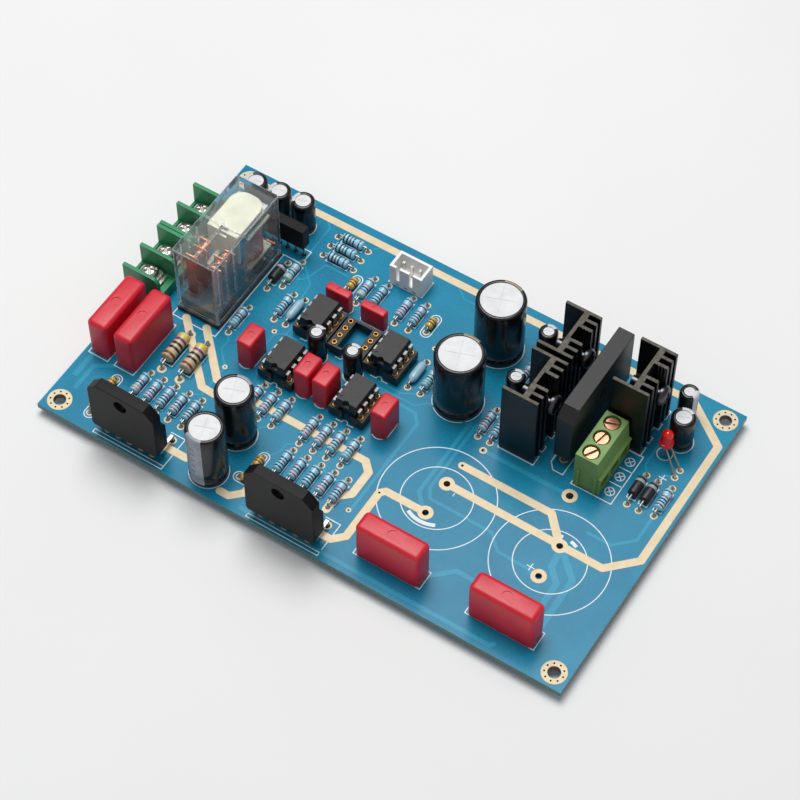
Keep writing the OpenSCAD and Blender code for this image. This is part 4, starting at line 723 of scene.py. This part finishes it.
def softened(node, width, materials, body="board", chooses=None, segments=2):
    """A piece's own solid with its outer sharp edges rounded off, and a finish chosen for each face."""
    bm = bmesh.new()
    bm.from_mesh(nodes[node].data)
    bmesh.ops.remove_doubles(bm, verts=bm.verts, dist=0.001 * mm)
    bmesh.ops.dissolve_limit(bm, angle_limit=math.radians(1), verts=bm.verts, edges=bm.edges)
    folds = [e for e in bm.edges if len(e.link_faces) == 2 and e.is_convex]
    sharp = [e for e in folds if e.calc_face_angle() > fold_angle]
    bmesh.ops.bevel(
        bm, geom=sharp, offset=width * mm, offset_type="OFFSET", segments=segments, profile=0.5,
        affect="EDGES", clamp_overlap=True, material=-1)
    if chooses:
        for face in bm.faces:
            face.material_index = chooses(face)
    shown = piece(bm, node + "_shown", materials, body=body, replaces=[node])
    shown.modifiers.new("flat_faces", "WEIGHTED_NORMAL").keep_sharp = True
    return shown


softened("speaker_terminal_bodies", 0.25, [barrier_green])
wear(nodes["speaker_terminal_lugs"], nickel)
for i in range(1, 5):
    softened(f"speaker_clamp_{i}", 0.12, [nickel], body=f"speaker_clamp_{i}")
    softened(f"speaker_screw_{i}", 0.15, [nickel], body=f"speaker_screw_{i}")

# Speaker relay: a clear moulded cover over a black base, with a wound coil on an iron yoke behind and two
# contact sets in front. The armature tips towards the coil's pole, and its cream pusher moves both springs.
relay_black = finish(
    "relay_base_black", (30, 30, 32), (22, 22, 24), gloss=(0.35, 0.55), patch_scale=300,
    grain_scale=2600, grain=0.2)
cream = finish(
    "cream_moulding", (202, 194, 174), (186, 177, 156), gloss=(0.35, 0.55), patch_scale=260,
    grain_scale=1800, grain=0.3)
iron = finish(
    "zinc_plated_iron", (168, 168, 166), (142, 142, 140), gloss=(0.3, 0.5), patch_scale=400,
    Metallic=0.9)
contact_copper = finish(
    "contact_copper", (216, 134, 92), (196, 112, 72), gloss=(0.22, 0.4), patch_scale=500,
    Metallic=0.95)
enamel = finish(
    "enamelled_wire", (196, 108, 72), (172, 84, 54), gloss=(0.2, 0.38), patch_scale=600, Metallic=0.6)
softened("relay_base", 0.2, [relay_black])
softened("relay_bobbin", 0.2, [cream])
softened("relay_pusher", 0.2, [cream], body="relay_armature")
softened("relay_armature", 0.15, [iron], body="relay_armature")
wear(nodes["relay_yoke"], iron)
wear(nodes["relay_contact_springs"], contact_copper)
wear(nodes["relay_terminals"], contact_copper)
relay_x, coil_y = 18.9, 64.4
coil_low, coil_high = (v.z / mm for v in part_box("relay_coil"))
coil_r, core_r, wire_turn_h = 4.98, 3.2, 0.42
turns = int((coil_high - coil_low) / wire_turn_h)
turn_h = (coil_high - coil_low) / turns
winding = [(core_r, coil_low)]
for i in range(turns):
    z = coil_low + i * turn_h
    winding += [(coil_r - 0.14, z + 0.02), (coil_r - 0.03, z + turn_h * 0.22), (coil_r, z + turn_h * 0.5),
                (coil_r - 0.03, z + turn_h * 0.78)]
winding += [(coil_r - 0.14, coil_high), (core_r, coil_high), (core_r, coil_low)]
bm = turned(winding, 36, Matrix.Translation(spot(relay_x, coil_y, -board_t)))
piece(bm, "relay_winding", [enamel], replaces=["relay_coil"], smooth=60)


def clear_finish(name, base, **sockets):
    """A clear plastic that lets light through to what stands inside it."""
    patch = [v * 0.987 for v in base]
    material = finish(name, base, patch, patch_scale=120, grain_scale=500, grain=0.06, **sockets)
    tree = material.node_tree
    rays = tree.nodes.new("ShaderNodeLightPath")
    passing = tree.nodes.new("ShaderNodeBsdfTransparent")
    passing.inputs["Color"].default_value = srgb(238, 242, 242)
    mixed = tree.nodes.new("ShaderNodeMixShader")
    link = tree.links.new
    link(rays.outputs["Is Shadow Ray"], mixed.inputs["Fac"])
    link(tree.nodes["Principled BSDF"].outputs["BSDF"], mixed.inputs[1])
    link(passing.outputs["BSDF"], mixed.inputs[2])
    link(mixed.outputs["Shader"], tree.nodes["Material Output"].inputs["Surface"])
    return material


clear = clear_finish(
    "clear_cover", (246, 250, 250), gloss=(0.03, 0.09), Transmission_Weight=0.95, IOR=1.06,
    Coat_Weight=0.8, Coat_IOR=1.4)
# The cover's rounded edges, and the ribs inside it, get a whiter and less clear finish: a painted highlight
# for the bright lines that light draws along them.
clear_with_painted_highlight = clear_finish(
    "cover_edges_painted_highlight", (226, 232, 234), gloss=(0.2, 0.35), Transmission_Weight=0.6, IOR=1.2)
softened("relay_cover", 0.25, [clear, clear_with_painted_highlight], segments=3,
         chooses=lambda face: int(max(abs(v) for v in face.normal) < 0.99))
cover_low, cover_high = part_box("relay_cover")
rib_d, rib_t, rib_foot, rib_short, cover_wall = 0.4, 0.2, 6, 5, 0.92
rib_ys = (52.6, 49.2, 45.8)
rib_out = (cover_high.x - cover_low.x) / 2 / mm - cover_wall - rib_d / 2
rib_tall = (cover_high.z - cover_low.z) / mm - rib_short
bm = bmesh.new()
for x in (relay_x - rib_out, relay_x + rib_out):
    for y in rib_ys:
        bmesh.ops.create_cube(
            bm, size=1, matrix=Matrix.Translation(spot(x, y, rib_foot + rib_tall / 2))
            @ Matrix.Diagonal((rib_d * mm, rib_t * mm, rib_tall * mm, 1)))
# The ribs take the same whiter finish, a painted highlight.
piece(bm, "relay_cover_ribs", [clear_with_painted_highlight])

# Power chips: eleven-lead packages moulded all over in black epoxy, so that they bolt straight to a heatsink.
# The mould leaves soft edges, a thinner bolt end and a fine matt skin.
chip_black = finish(
    "power_chip_epoxy", (17, 17, 18), (12, 12, 13), gloss=(0.4, 0.6), patch_scale=220,
    grain_scale=4200, grain=0.35, Specular_IOR_Level=0.2)
for side in ("left", "right"):
    softened(f"power_chip_{side}", 0.25, [chip_black])
wear(nodes["power_chip_leads"], lead_tin)

# Protection chip: an eight-lead single-row package with a cut corner, moulded in the same epoxy.
# It stands on its own leads behind the relay, which it switches.
softened("protection_chip", 0.2, [chip_black])

# Op-amps in sockets: small dual-row packages pushed into turned-pin sockets, one of which is left empty.
# The socket's frame is black, and each of its contacts is a gold-plated turned sleeve.
op_black = finish(
    "op_amp_epoxy", (32, 32, 34), (25, 25, 27), gloss=(0.4, 0.6), patch_scale=400,
    grain_scale=4200, grain=0.35)
socket_black = finish(
    "socket_moulding", (34, 30, 30), (26, 24, 25), gloss=(0.35, 0.55), patch_scale=400, grain=0.2)
gold = finish(
    "gold_plate", (190, 148, 84), (168, 124, 64), gloss=(0.18, 0.34), patch_scale=700, Metallic=1)
dull_tin = finish(
    "dull_tin", (160, 160, 158), (140, 140, 138), gloss=(0.4, 0.6), patch_scale=600, Metallic=0.7)
softened("op_amps", 0.15, [op_black])
softened("ic_sockets", 0.12, [socket_black])
wear(nodes["op_amp_pins"], dull_tin)
wear(nodes["socket_contacts"], gold)

# Electrolytic capacitors: drawn aluminium cans in shrunk black sleeves that roll over the top edge.
# The top is scored with a cross as a vent, and a paler stripe with minus marks runs down one side.
sleeve_black = finish(
    "black_sleeve", (26, 26, 30), (20, 20, 24), gloss=(0.16, 0.24), patch_scale=160,
    grain_scale=400, grain=0.02, Specular_IOR_Level=0.4)
stripe_beige, stripe_grey, stripe_white = (
    finish(name, base, patch, gloss=(0.2, 0.36), patch_scale=500) for name, base, patch in (
        ("beige_stripe", (160, 144, 116), (146, 130, 102)),
        ("grey_stripe", (150, 158, 168), (134, 142, 154)),
        ("white_stripe", (216, 216, 220), (198, 198, 204))))
can_metal = finish(
    "can_top", (222, 223, 223), (210, 211, 212), gloss=(0.5, 0.7), patch_scale=350,
    grain_scale=2600, grain=0.2, Metallic=0.2, Specular_IOR_Level=0.3)
rim_w, groove_z, groove_in, groove_half, edge = 1.1, 2.2, 0.45, 0.7, 0.7
mark_h, mark_steps = 0.35, (0.3, 0.42, 0.54, 0.66, 0.78)
score_slope, score_deep, top_t, top_sunk = 0.04, 0.1, 0.4, 0.25


def sleeve(d, h, stripe_dir, stripe_half, mark_half):
    """A shrunk sleeve: its stripe and minus marks are picked out by the direction and height of each face."""
    r = d / 2
    marks = [(h * f, h * f + mark_h) for f in mark_steps]
    groove_r = r - groove_in * 0.75
    profile = [
        (0, 0.5), (r - 0.5, 0.5), (r - 0.12, 0.68), (r, 1), (r, groove_z - groove_half),
        (groove_r, groove_z - 0.25), (r - groove_in, groove_z), (groove_r, groove_z + 0.25),
        (r, groove_z + groove_half), *[(r, z) for pair in marks for z in pair], (r, h - edge),
        (r - 0.08, h - 0.4), (r - 0.25, h - 0.18), (r - 0.45, h - 0.06), (r - edge, h),
        (r - rim_w + 0.12, h), (r - rim_w, h - 0.08), (r - rim_w, h - 0.5), (0, h - 0.5)]
    bm = turned(profile, 48)
    for face in bm.faces:
        middle = face.calc_center_median()
        off = math.degrees(math.atan2(middle.y, middle.x)) - stripe_dir
        off = abs((off + 180) % 360 - 180)
        z = middle.z / mm
        if off < stripe_half and z > 1 and middle.xy.length > (r - rim_w + 0.05) * mm:
            face.material_index = 1
            if off < mark_half and any(a < z < b for a, b in marks):
                face.material_index = 0
    return bm


def can_top(d, h):
    """The can's round top: cut along a cross, whose bars are then pressed in."""
    r, half, reach = d / 2 - rim_w + 0.02, 0.09 + d * 0.004, (d / 2 - rim_w) * 0.72
    bm = bmesh.new()
    bmesh.ops.create_circle(bm, cap_ends=True, segments=48, radius=r * mm)
    for axis in (Vector((1, 0, 0)), Vector((0, 1, 0))):
        for at in (-reach, -half, half, reach):
            bmesh.ops.bisect_plane(
                bm, geom=bm.verts[:] + bm.edges[:] + bm.faces[:], plane_co=axis * at * mm, plane_no=axis,
                dist=1e-8)
    inside = []
    for face in bm.faces:
        x, y = (abs(v) / mm for v in face.calc_center_median().xy)
        if (x < half and y < reach) or (y < half and x < reach):
            inside.append(face)
    bmesh.ops.inset_region(
        bm, faces=inside, thickness=score_slope * mm, depth=-score_deep * mm, use_even_offset=True)
    pull(bm, [e for e in bm.edges if e.is_boundary], (0, 0, -top_t))
    bmesh.ops.holes_fill(bm, edges=bm.edges, sides=0)
    bmesh.ops.recalc_face_normals(bm, faces=bm.faces)
    bmesh.ops.transform(bm, matrix=Matrix.Translation((0, 0, (h - top_sunk) * mm)), verts=bm.verts)
    return bm


# Each size has its diameter, its height, and half the stripe's and the minus marks' width in degrees.
can_sizes = {
    "filter": (13, 20.5, 24, 5), "rail": (10, 19.5, 31, 7), "small": (6.3, 11, 36, 9), "tiny": (5, 11, 40, 9)}
top_turn = 20
tops = bmesh.new()
for name, node, stripe, sizes in (
    ("filter_sleeves", "filter_capacitor_sleeves", stripe_beige, ("filter",)),
    ("rail_sleeves", "rail_capacitor_sleeves", stripe_grey, ("rail",)),
    ("small_sleeves", "small_capacitor_sleeves", stripe_white, ("small", "tiny")),
):
    bm = bmesh.new()
    for size, x, y, turn, stripe_dir, print_r in cans:
        if size in sizes:
            d, h, stripe_half, mark_half = can_sizes[size]
            stamp(bm, pattern(sleeve(d, h, stripe_dir, stripe_half, mark_half), "sleeve"), upright(x, y))
            stamp(tops, pattern(can_top(d, h), "can_top"), upright(x, y, top_turn))
    piece(bm, name, [sleeve_black, stripe], replaces=[node], smooth=40)
piece(tops, "can_tops", [can_metal], replaces=["capacitor_cans"], smooth=30)

# Film capacitors: wound film potted in red moulded boxes with well-rounded edges.
# A round dimple in the top is left by the mould's ejector pin.
film_red = finish(
    "red_moulding", (214, 34, 54), (202, 27, 46), gloss=(0.3, 0.48), patch_scale=150,
    grain_scale=2400, grain=0.25)
dimple_deep = 0.18


def film_box(l, w, h, r, dimple_r):
    """A box with round edges, and a round dimple let into its top."""
    bm = bmesh.new()
    size = Matrix.Diagonal((l * mm, w * mm, h * mm, 1))
    bmesh.ops.create_cube(bm, size=1, matrix=Matrix.Translation((0, 0, h / 2 * mm)) @ size)
    kept = [e for e in bm.edges if max(v.co.z for v in e.verts) > 0.1 * mm]
    bmesh.ops.bevel(
        bm, geom=kept, offset=r * mm, offset_type="OFFSET", segments=5, profile=0.5, affect="EDGES",
        clamp_overlap=True, material=-1)
    top = max(bm.faces, key=lambda f: f.calc_center_median().z)
    rim = top.edges[:]
    bmesh.ops.delete(bm, geom=[top], context="FACES_ONLY")
    ring = bmesh.ops.create_circle(
        bm, segments=28, radius=dimple_r * mm, matrix=Matrix.Translation((0, 0, h * mm)))["verts"]
    ring = list(dict.fromkeys(e for v in ring for e in v.link_edges))
    bmesh.ops.triangle_fill(bm, edges=rim + ring, use_beauty=True)
    wall = pull(bm, [e for e in ring if e.is_boundary], (0, 0, -dimple_deep))
    bmesh.ops.holes_fill(bm, edges=wall, sides=0)
    bmesh.ops.recalc_face_normals(bm, faces=bm.faces)
    return bm


large_box = pattern(film_box(l=18, w=6, h=12.5, r=1.3, dimple_r=1.3), "large_film")
tall_box = pattern(film_box(l=7.2, w=4.5, h=9.5, r=0.7, dimple_r=0.9), "tall_film")
low_box = pattern(film_box(l=7.2, w=2.5, h=6.5, r=0.5, dimple_r=0.6), "low_film")
for name, node, members in (
    ("output_films", "output_film_capacitors", [(large_box, output_film_spots)]),
    ("supply_films", "supply_film_capacitors", [(large_box, supply_film_spots)]),
    ("signal_films", "signal_film_capacitors", [(tall_box, tall_film_spots), (low_box, low_film_spots)]),
):
    bm = bmesh.new()
    for shape, spots in members:
        for place in spots:
            stamp(bm, shape, upright(*place, lift))
    piece(bm, name, [film_red], replaces=[node], smooth=30)

# Heatsinks: extruded aluminium, anodised black before it is sawn to length, so the sawn ends are dull.
# Each holds a regulator by a screw driven into the toothed channel between its fins.
anodised = finish(
    "black_anodising", (20, 20, 22), (14, 14, 16), gloss=(0.3, 0.45), patch_scale=200,
    grain_scale=1600, grain=0.15, Metallic=0.25)
sawn = finish(
    "sawn_aluminium", (92, 88, 78), (66, 63, 57), gloss=(0.4, 0.65), patch_scale=900,
    grain_scale=3200, grain=0.5, Metallic=0.6)
# Painted shade: the heatsink screws' steel is made dark so that their heads read as shaded down between the
# fins.
shade_darkened_steel = finish(
    "steel_with_painted_shade", (92, 92, 96), (74, 74, 78), gloss=(0.22, 0.38), patch_scale=500, Metallic=1)
sink_foot, sink_top = (v.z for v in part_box("heatsink_1"))


def sawn_ends(face):
    """1 for a face where the saw went through."""
    z = face.calc_center_median().z
    return int(abs(face.normal.z) > 0.9 and (z > sink_top - 0.01 * mm or z < sink_foot + 0.01 * mm))


for i in range(1, 4):
    softened(f"heatsink_{i}", 0.1, [anodised, sawn], chooses=sawn_ends, segments=1)
softened("regulators", 0.2, [chip_black])
wear(nodes["regulator_tabs"], iron)
softened("heatsink_screws", 0.12, [shade_darkened_steel])

# Bridge rectifier: four diodes cast in one flat black epoxy block, with a cut corner at the plus end.
# Its faces have a fine matt grain, and the mould leaves its edges a little round.
bridge_black = finish(
    "bridge_epoxy", (34, 34, 35), (26, 26, 28), gloss=(0.38, 0.58), patch_scale=120,
    grain_scale=3600, grain=0.4)
softened("bridge_rectifier", 0.35, [bridge_black], segments=3)

# Power terminal: a moulded olive block with three wire cages, each closed by a slotted copper-coloured screw.
# A screw drives its cage up against the wire from below.
olive = finish(
    "olive_moulding", (122, 160, 84), (108, 146, 72), gloss=(0.36, 0.54), patch_scale=150,
    grain_scale=2400, grain=0.2)
screw_copper = finish(
    "copper_flash", (206, 156, 128), (188, 136, 108), gloss=(0.22, 0.4), patch_scale=600,
    Metallic=0.9)
softened("power_terminal_body", 0.2, [olive])
wear(nodes["power_terminal_pins"], lead_tin)
for i in range(1, 4):
    softened(f"power_screw_{i}", 0.1, [screw_copper], body=f"power_screw_{i}")
    softened(f"power_cage_{i}", 0.1, [nickel], body=f"power_cage_{i}")

# Input header: a shrouded header for the signal plug, moulded in white plastic.
# Its three square pins are pressed in, and are plated bright.
header_white = finish(
    "white_moulding", (246, 246, 245), (240, 241, 240), gloss=(0.34, 0.5), patch_scale=200,
    grain_scale=2400, grain=0.15)
softened("input_header", 0.15, [header_white])
wear(nodes["header_pins"], nickel)

# Status light: a 3 mm lens with a flange, cast in red plastic over the two wires.
# Those wires are left long and hold it up beside its pads.
lens_red = finish(
    "red_lens", (248, 36, 30), (238, 26, 24), gloss=(0.08, 0.18), patch_scale=300,
    Transmission_Weight=0.1, IOR=1.5, Coat_Weight=0.3)
lens_r, flange_r, lens_h, lens_foot = 1.5, 1.85, 5.2, 4.6
lens = [(0, 0), (flange_r - 0.1, 0), (flange_r, 0.1), (flange_r, 0.9), (flange_r - 0.1, 1), (lens_r, 1.05)]
lens += arc(0, lens_h - lens_r, lens_r, 0, 80, 8) + [(0, lens_h)]
piece(turned(lens, 32, upright(*light_spot, 0, lens_foot)), "status_lens", [lens_red],
      replaces=["status_light"])

# Solder side: every hole is plated through to a tinned ring under the board, and each pin is soldered there.
# The holes are read from the board itself, and a few wide tracks run under the mask between them.
under_tracks = [
    (2.2, [(119.8, 56.8), (112.4, 49.4), (94, 49.4), (88.5, 55.1)]),
    (2.2, [(119.8, 81.8), (112.6, 88.6), (92, 88.6), (88.5, 79.7)]),
    (1.6, [(119.8, 66.8), (125, 72), (125, 84), (121, 88.2)]),
    (1.6, [(5.9, 61.6), (9.4, 58), (9.4, 48), (15, 47.4)]),
    (1.6, [(22.8, 47.4), (25.2, 45), (25.8, 38)]),
    (1.2, [(24.8, 9.1), (24.8, 11.2), (38, 11.2), (47.9, 9.1)]),
    (1.2, [(70.9, 9.1), (70.9, 12), (52, 12), (47.6, 16.9)]),
    (1, [(42.99, 54.09), (40.9, 51.9), (40.9, 46), (42.99, 43.27)]),
    (1, [(64.31, 59.17), (61.9, 59.17), (61.9, 64), (57, 64)]),
    (1, [(58.5, 83.4), (58.5, 79.6), (55.6, 76.8), (54.4, 74)]),
    (1.8, [(131.6, 24.6), (126, 30.2), (108, 30.2), (99.2, 25.1)]),
    (1.4, [(92.5, 8.9), (90, 11.4), (90, 22), (84, 28)]),
]
bm = bmesh.new()
for width, points in under_tracks:
    track(bm, width, points)
bmesh.ops.translate(bm, vec=(0, 0, -(board_t + track_h) * mm), verts=bm.verts)
piece(bm, "under_tracks", [mask_over_copper])


def board_openings():
    """The middle and half width of each opening in the board's underside, and of its own outline."""
    drilled = bmesh.new()
    drilled.from_mesh(nodes["circuit_board"].data)
    bmesh.ops.remove_doubles(drilled, verts=drilled.verts, dist=0.001 * mm)
    rims = {e for e in drilled.edges if max(v.co.z for v in e.verts) < 0.01 * mm
            and any(abs(f.normal.z) < 0.5 for f in e.link_faces)}
    found = []
    for first in drilled.edges:
        if first not in rims:
            continue
        rims.remove(first)
        loop = [first]
        for edge in loop:
            near = {n for v in edge.verts for n in v.link_edges} & rims
            rims -= near
            loop += near
        across = [v.co.x for e in loop for v in e.verts], [v.co.y for e in loop for v in e.verts]
        middle = Vector([(min(side) + max(side)) / 2 for side in across] + [0])
        found.append((middle, round((max(across[0]) - min(across[0])) / 2 / mm, 2)))
    drilled.free()
    return found


ring_w, ring_h, ring_steps = 0.5, 0.04, 24
smallest_hole, largest_hole, stout_hole = 0.28, 5, (0.65, 0.8)
rings = {}
bm = bmesh.new()
for middle, hole_r in board_openings():
    if not smallest_hole < hole_r < largest_hole:
        continue
    if hole_r not in rings:
        outer = hole_r + ring_w
        profile = [(hole_r, 0), (outer, 0), (outer, -ring_h), (hole_r, -ring_h), (hole_r, 0)]
        rings[hole_r] = pattern(turned(profile, ring_steps), "under_ring")
    stamp(bm, rings[hole_r], Matrix.Translation(middle))
    if stout_hole[0] < hole_r < stout_hole[1]:
        stamp(bm, stout_solder, Matrix.Translation(middle) @ flipped)
for x, y in socket_spots:
    for row in (-1.5, 1.5):
        for step in (-1.5, -0.5, 0.5, 1.5):
            soldered(bm, x + row * lead_pitch, y + step * lead_pitch)
piece(bm, "under_rings", [tinned, solder], smooth=50)

# Studio: a plain pale floor under the pins, a soft light nearly overhead, a weaker one in front,
# and the camera where the photo was taken from.
floor_size = 1.6
bm = bmesh.new()
bmesh.ops.create_grid(
    bm, x_segments=1, y_segments=1, size=floor_size / 2,
    matrix=Matrix.Translation((0, 0, cad_box[0][2] - 0.02 * mm)))
floor_mesh = bpy.data.meshes.new("floor")
bm.to_mesh(floor_mesh)
bm.free()
floor = bpy.data.objects.new("floor", floor_mesh)
floor_finish = finish(
    "pale_floor", (236, 236, 235), (233, 233, 232), gloss=(0.6, 0.7), patch_scale=8,
    grain_scale=900, grain=0.02)
floor_mesh.materials.append(floor_finish)
bpy.context.scene.collection.objects.link(floor)


def area_light(name, place, size, power):
    """A square soft light that faces the middle of the board."""
    lamp = bpy.data.lights.new(name, "AREA")
    lamp.size = size
    lamp.energy = power
    lit = bpy.data.objects.new(name, lamp)
    lit.location = place
    lit.rotation_euler = (-Vector(place)).to_track_quat("-Z", "Y").to_euler()
    bpy.context.scene.collection.objects.link(lit)


area_light("key_light", (-0.2, 0.2, 0.97), 0.6, 8.8)
area_light("fill_light", (0.5, -0.55, 0.6), 0.9, 0.4)
world = bpy.data.worlds.new("studio")
world.use_nodes = True
sky = world.node_tree.nodes["Background"].inputs
sky["Color"].default_value = srgb(245, 247, 250)
sky["Strength"].default_value = 0.3
bpy.context.scene.world = world
bpy.context.scene.view_settings.view_transform = "Standard"

eye, target = Vector((192.0, -301.98, 523.2)) * mm, Vector((0.05, 3.69, 1.6)) * mm
camera_roll = math.radians(0.396)
camera_data = bpy.data.cameras.new("camera")
camera_data.lens = 113.6
camera_data.sensor_width = 36
camera_data.clip_start = 0.01
camera = bpy.data.objects.new("camera", camera_data)
aim = (target - eye).to_track_quat("-Z", "Y").to_matrix().to_4x4()
camera.matrix_world = Matrix.Translation(eye) @ aim @ Matrix.Rotation(camera_roll, 4, "Z")
bpy.context.scene.collection.objects.link(camera)
bpy.context.scene.camera = camera
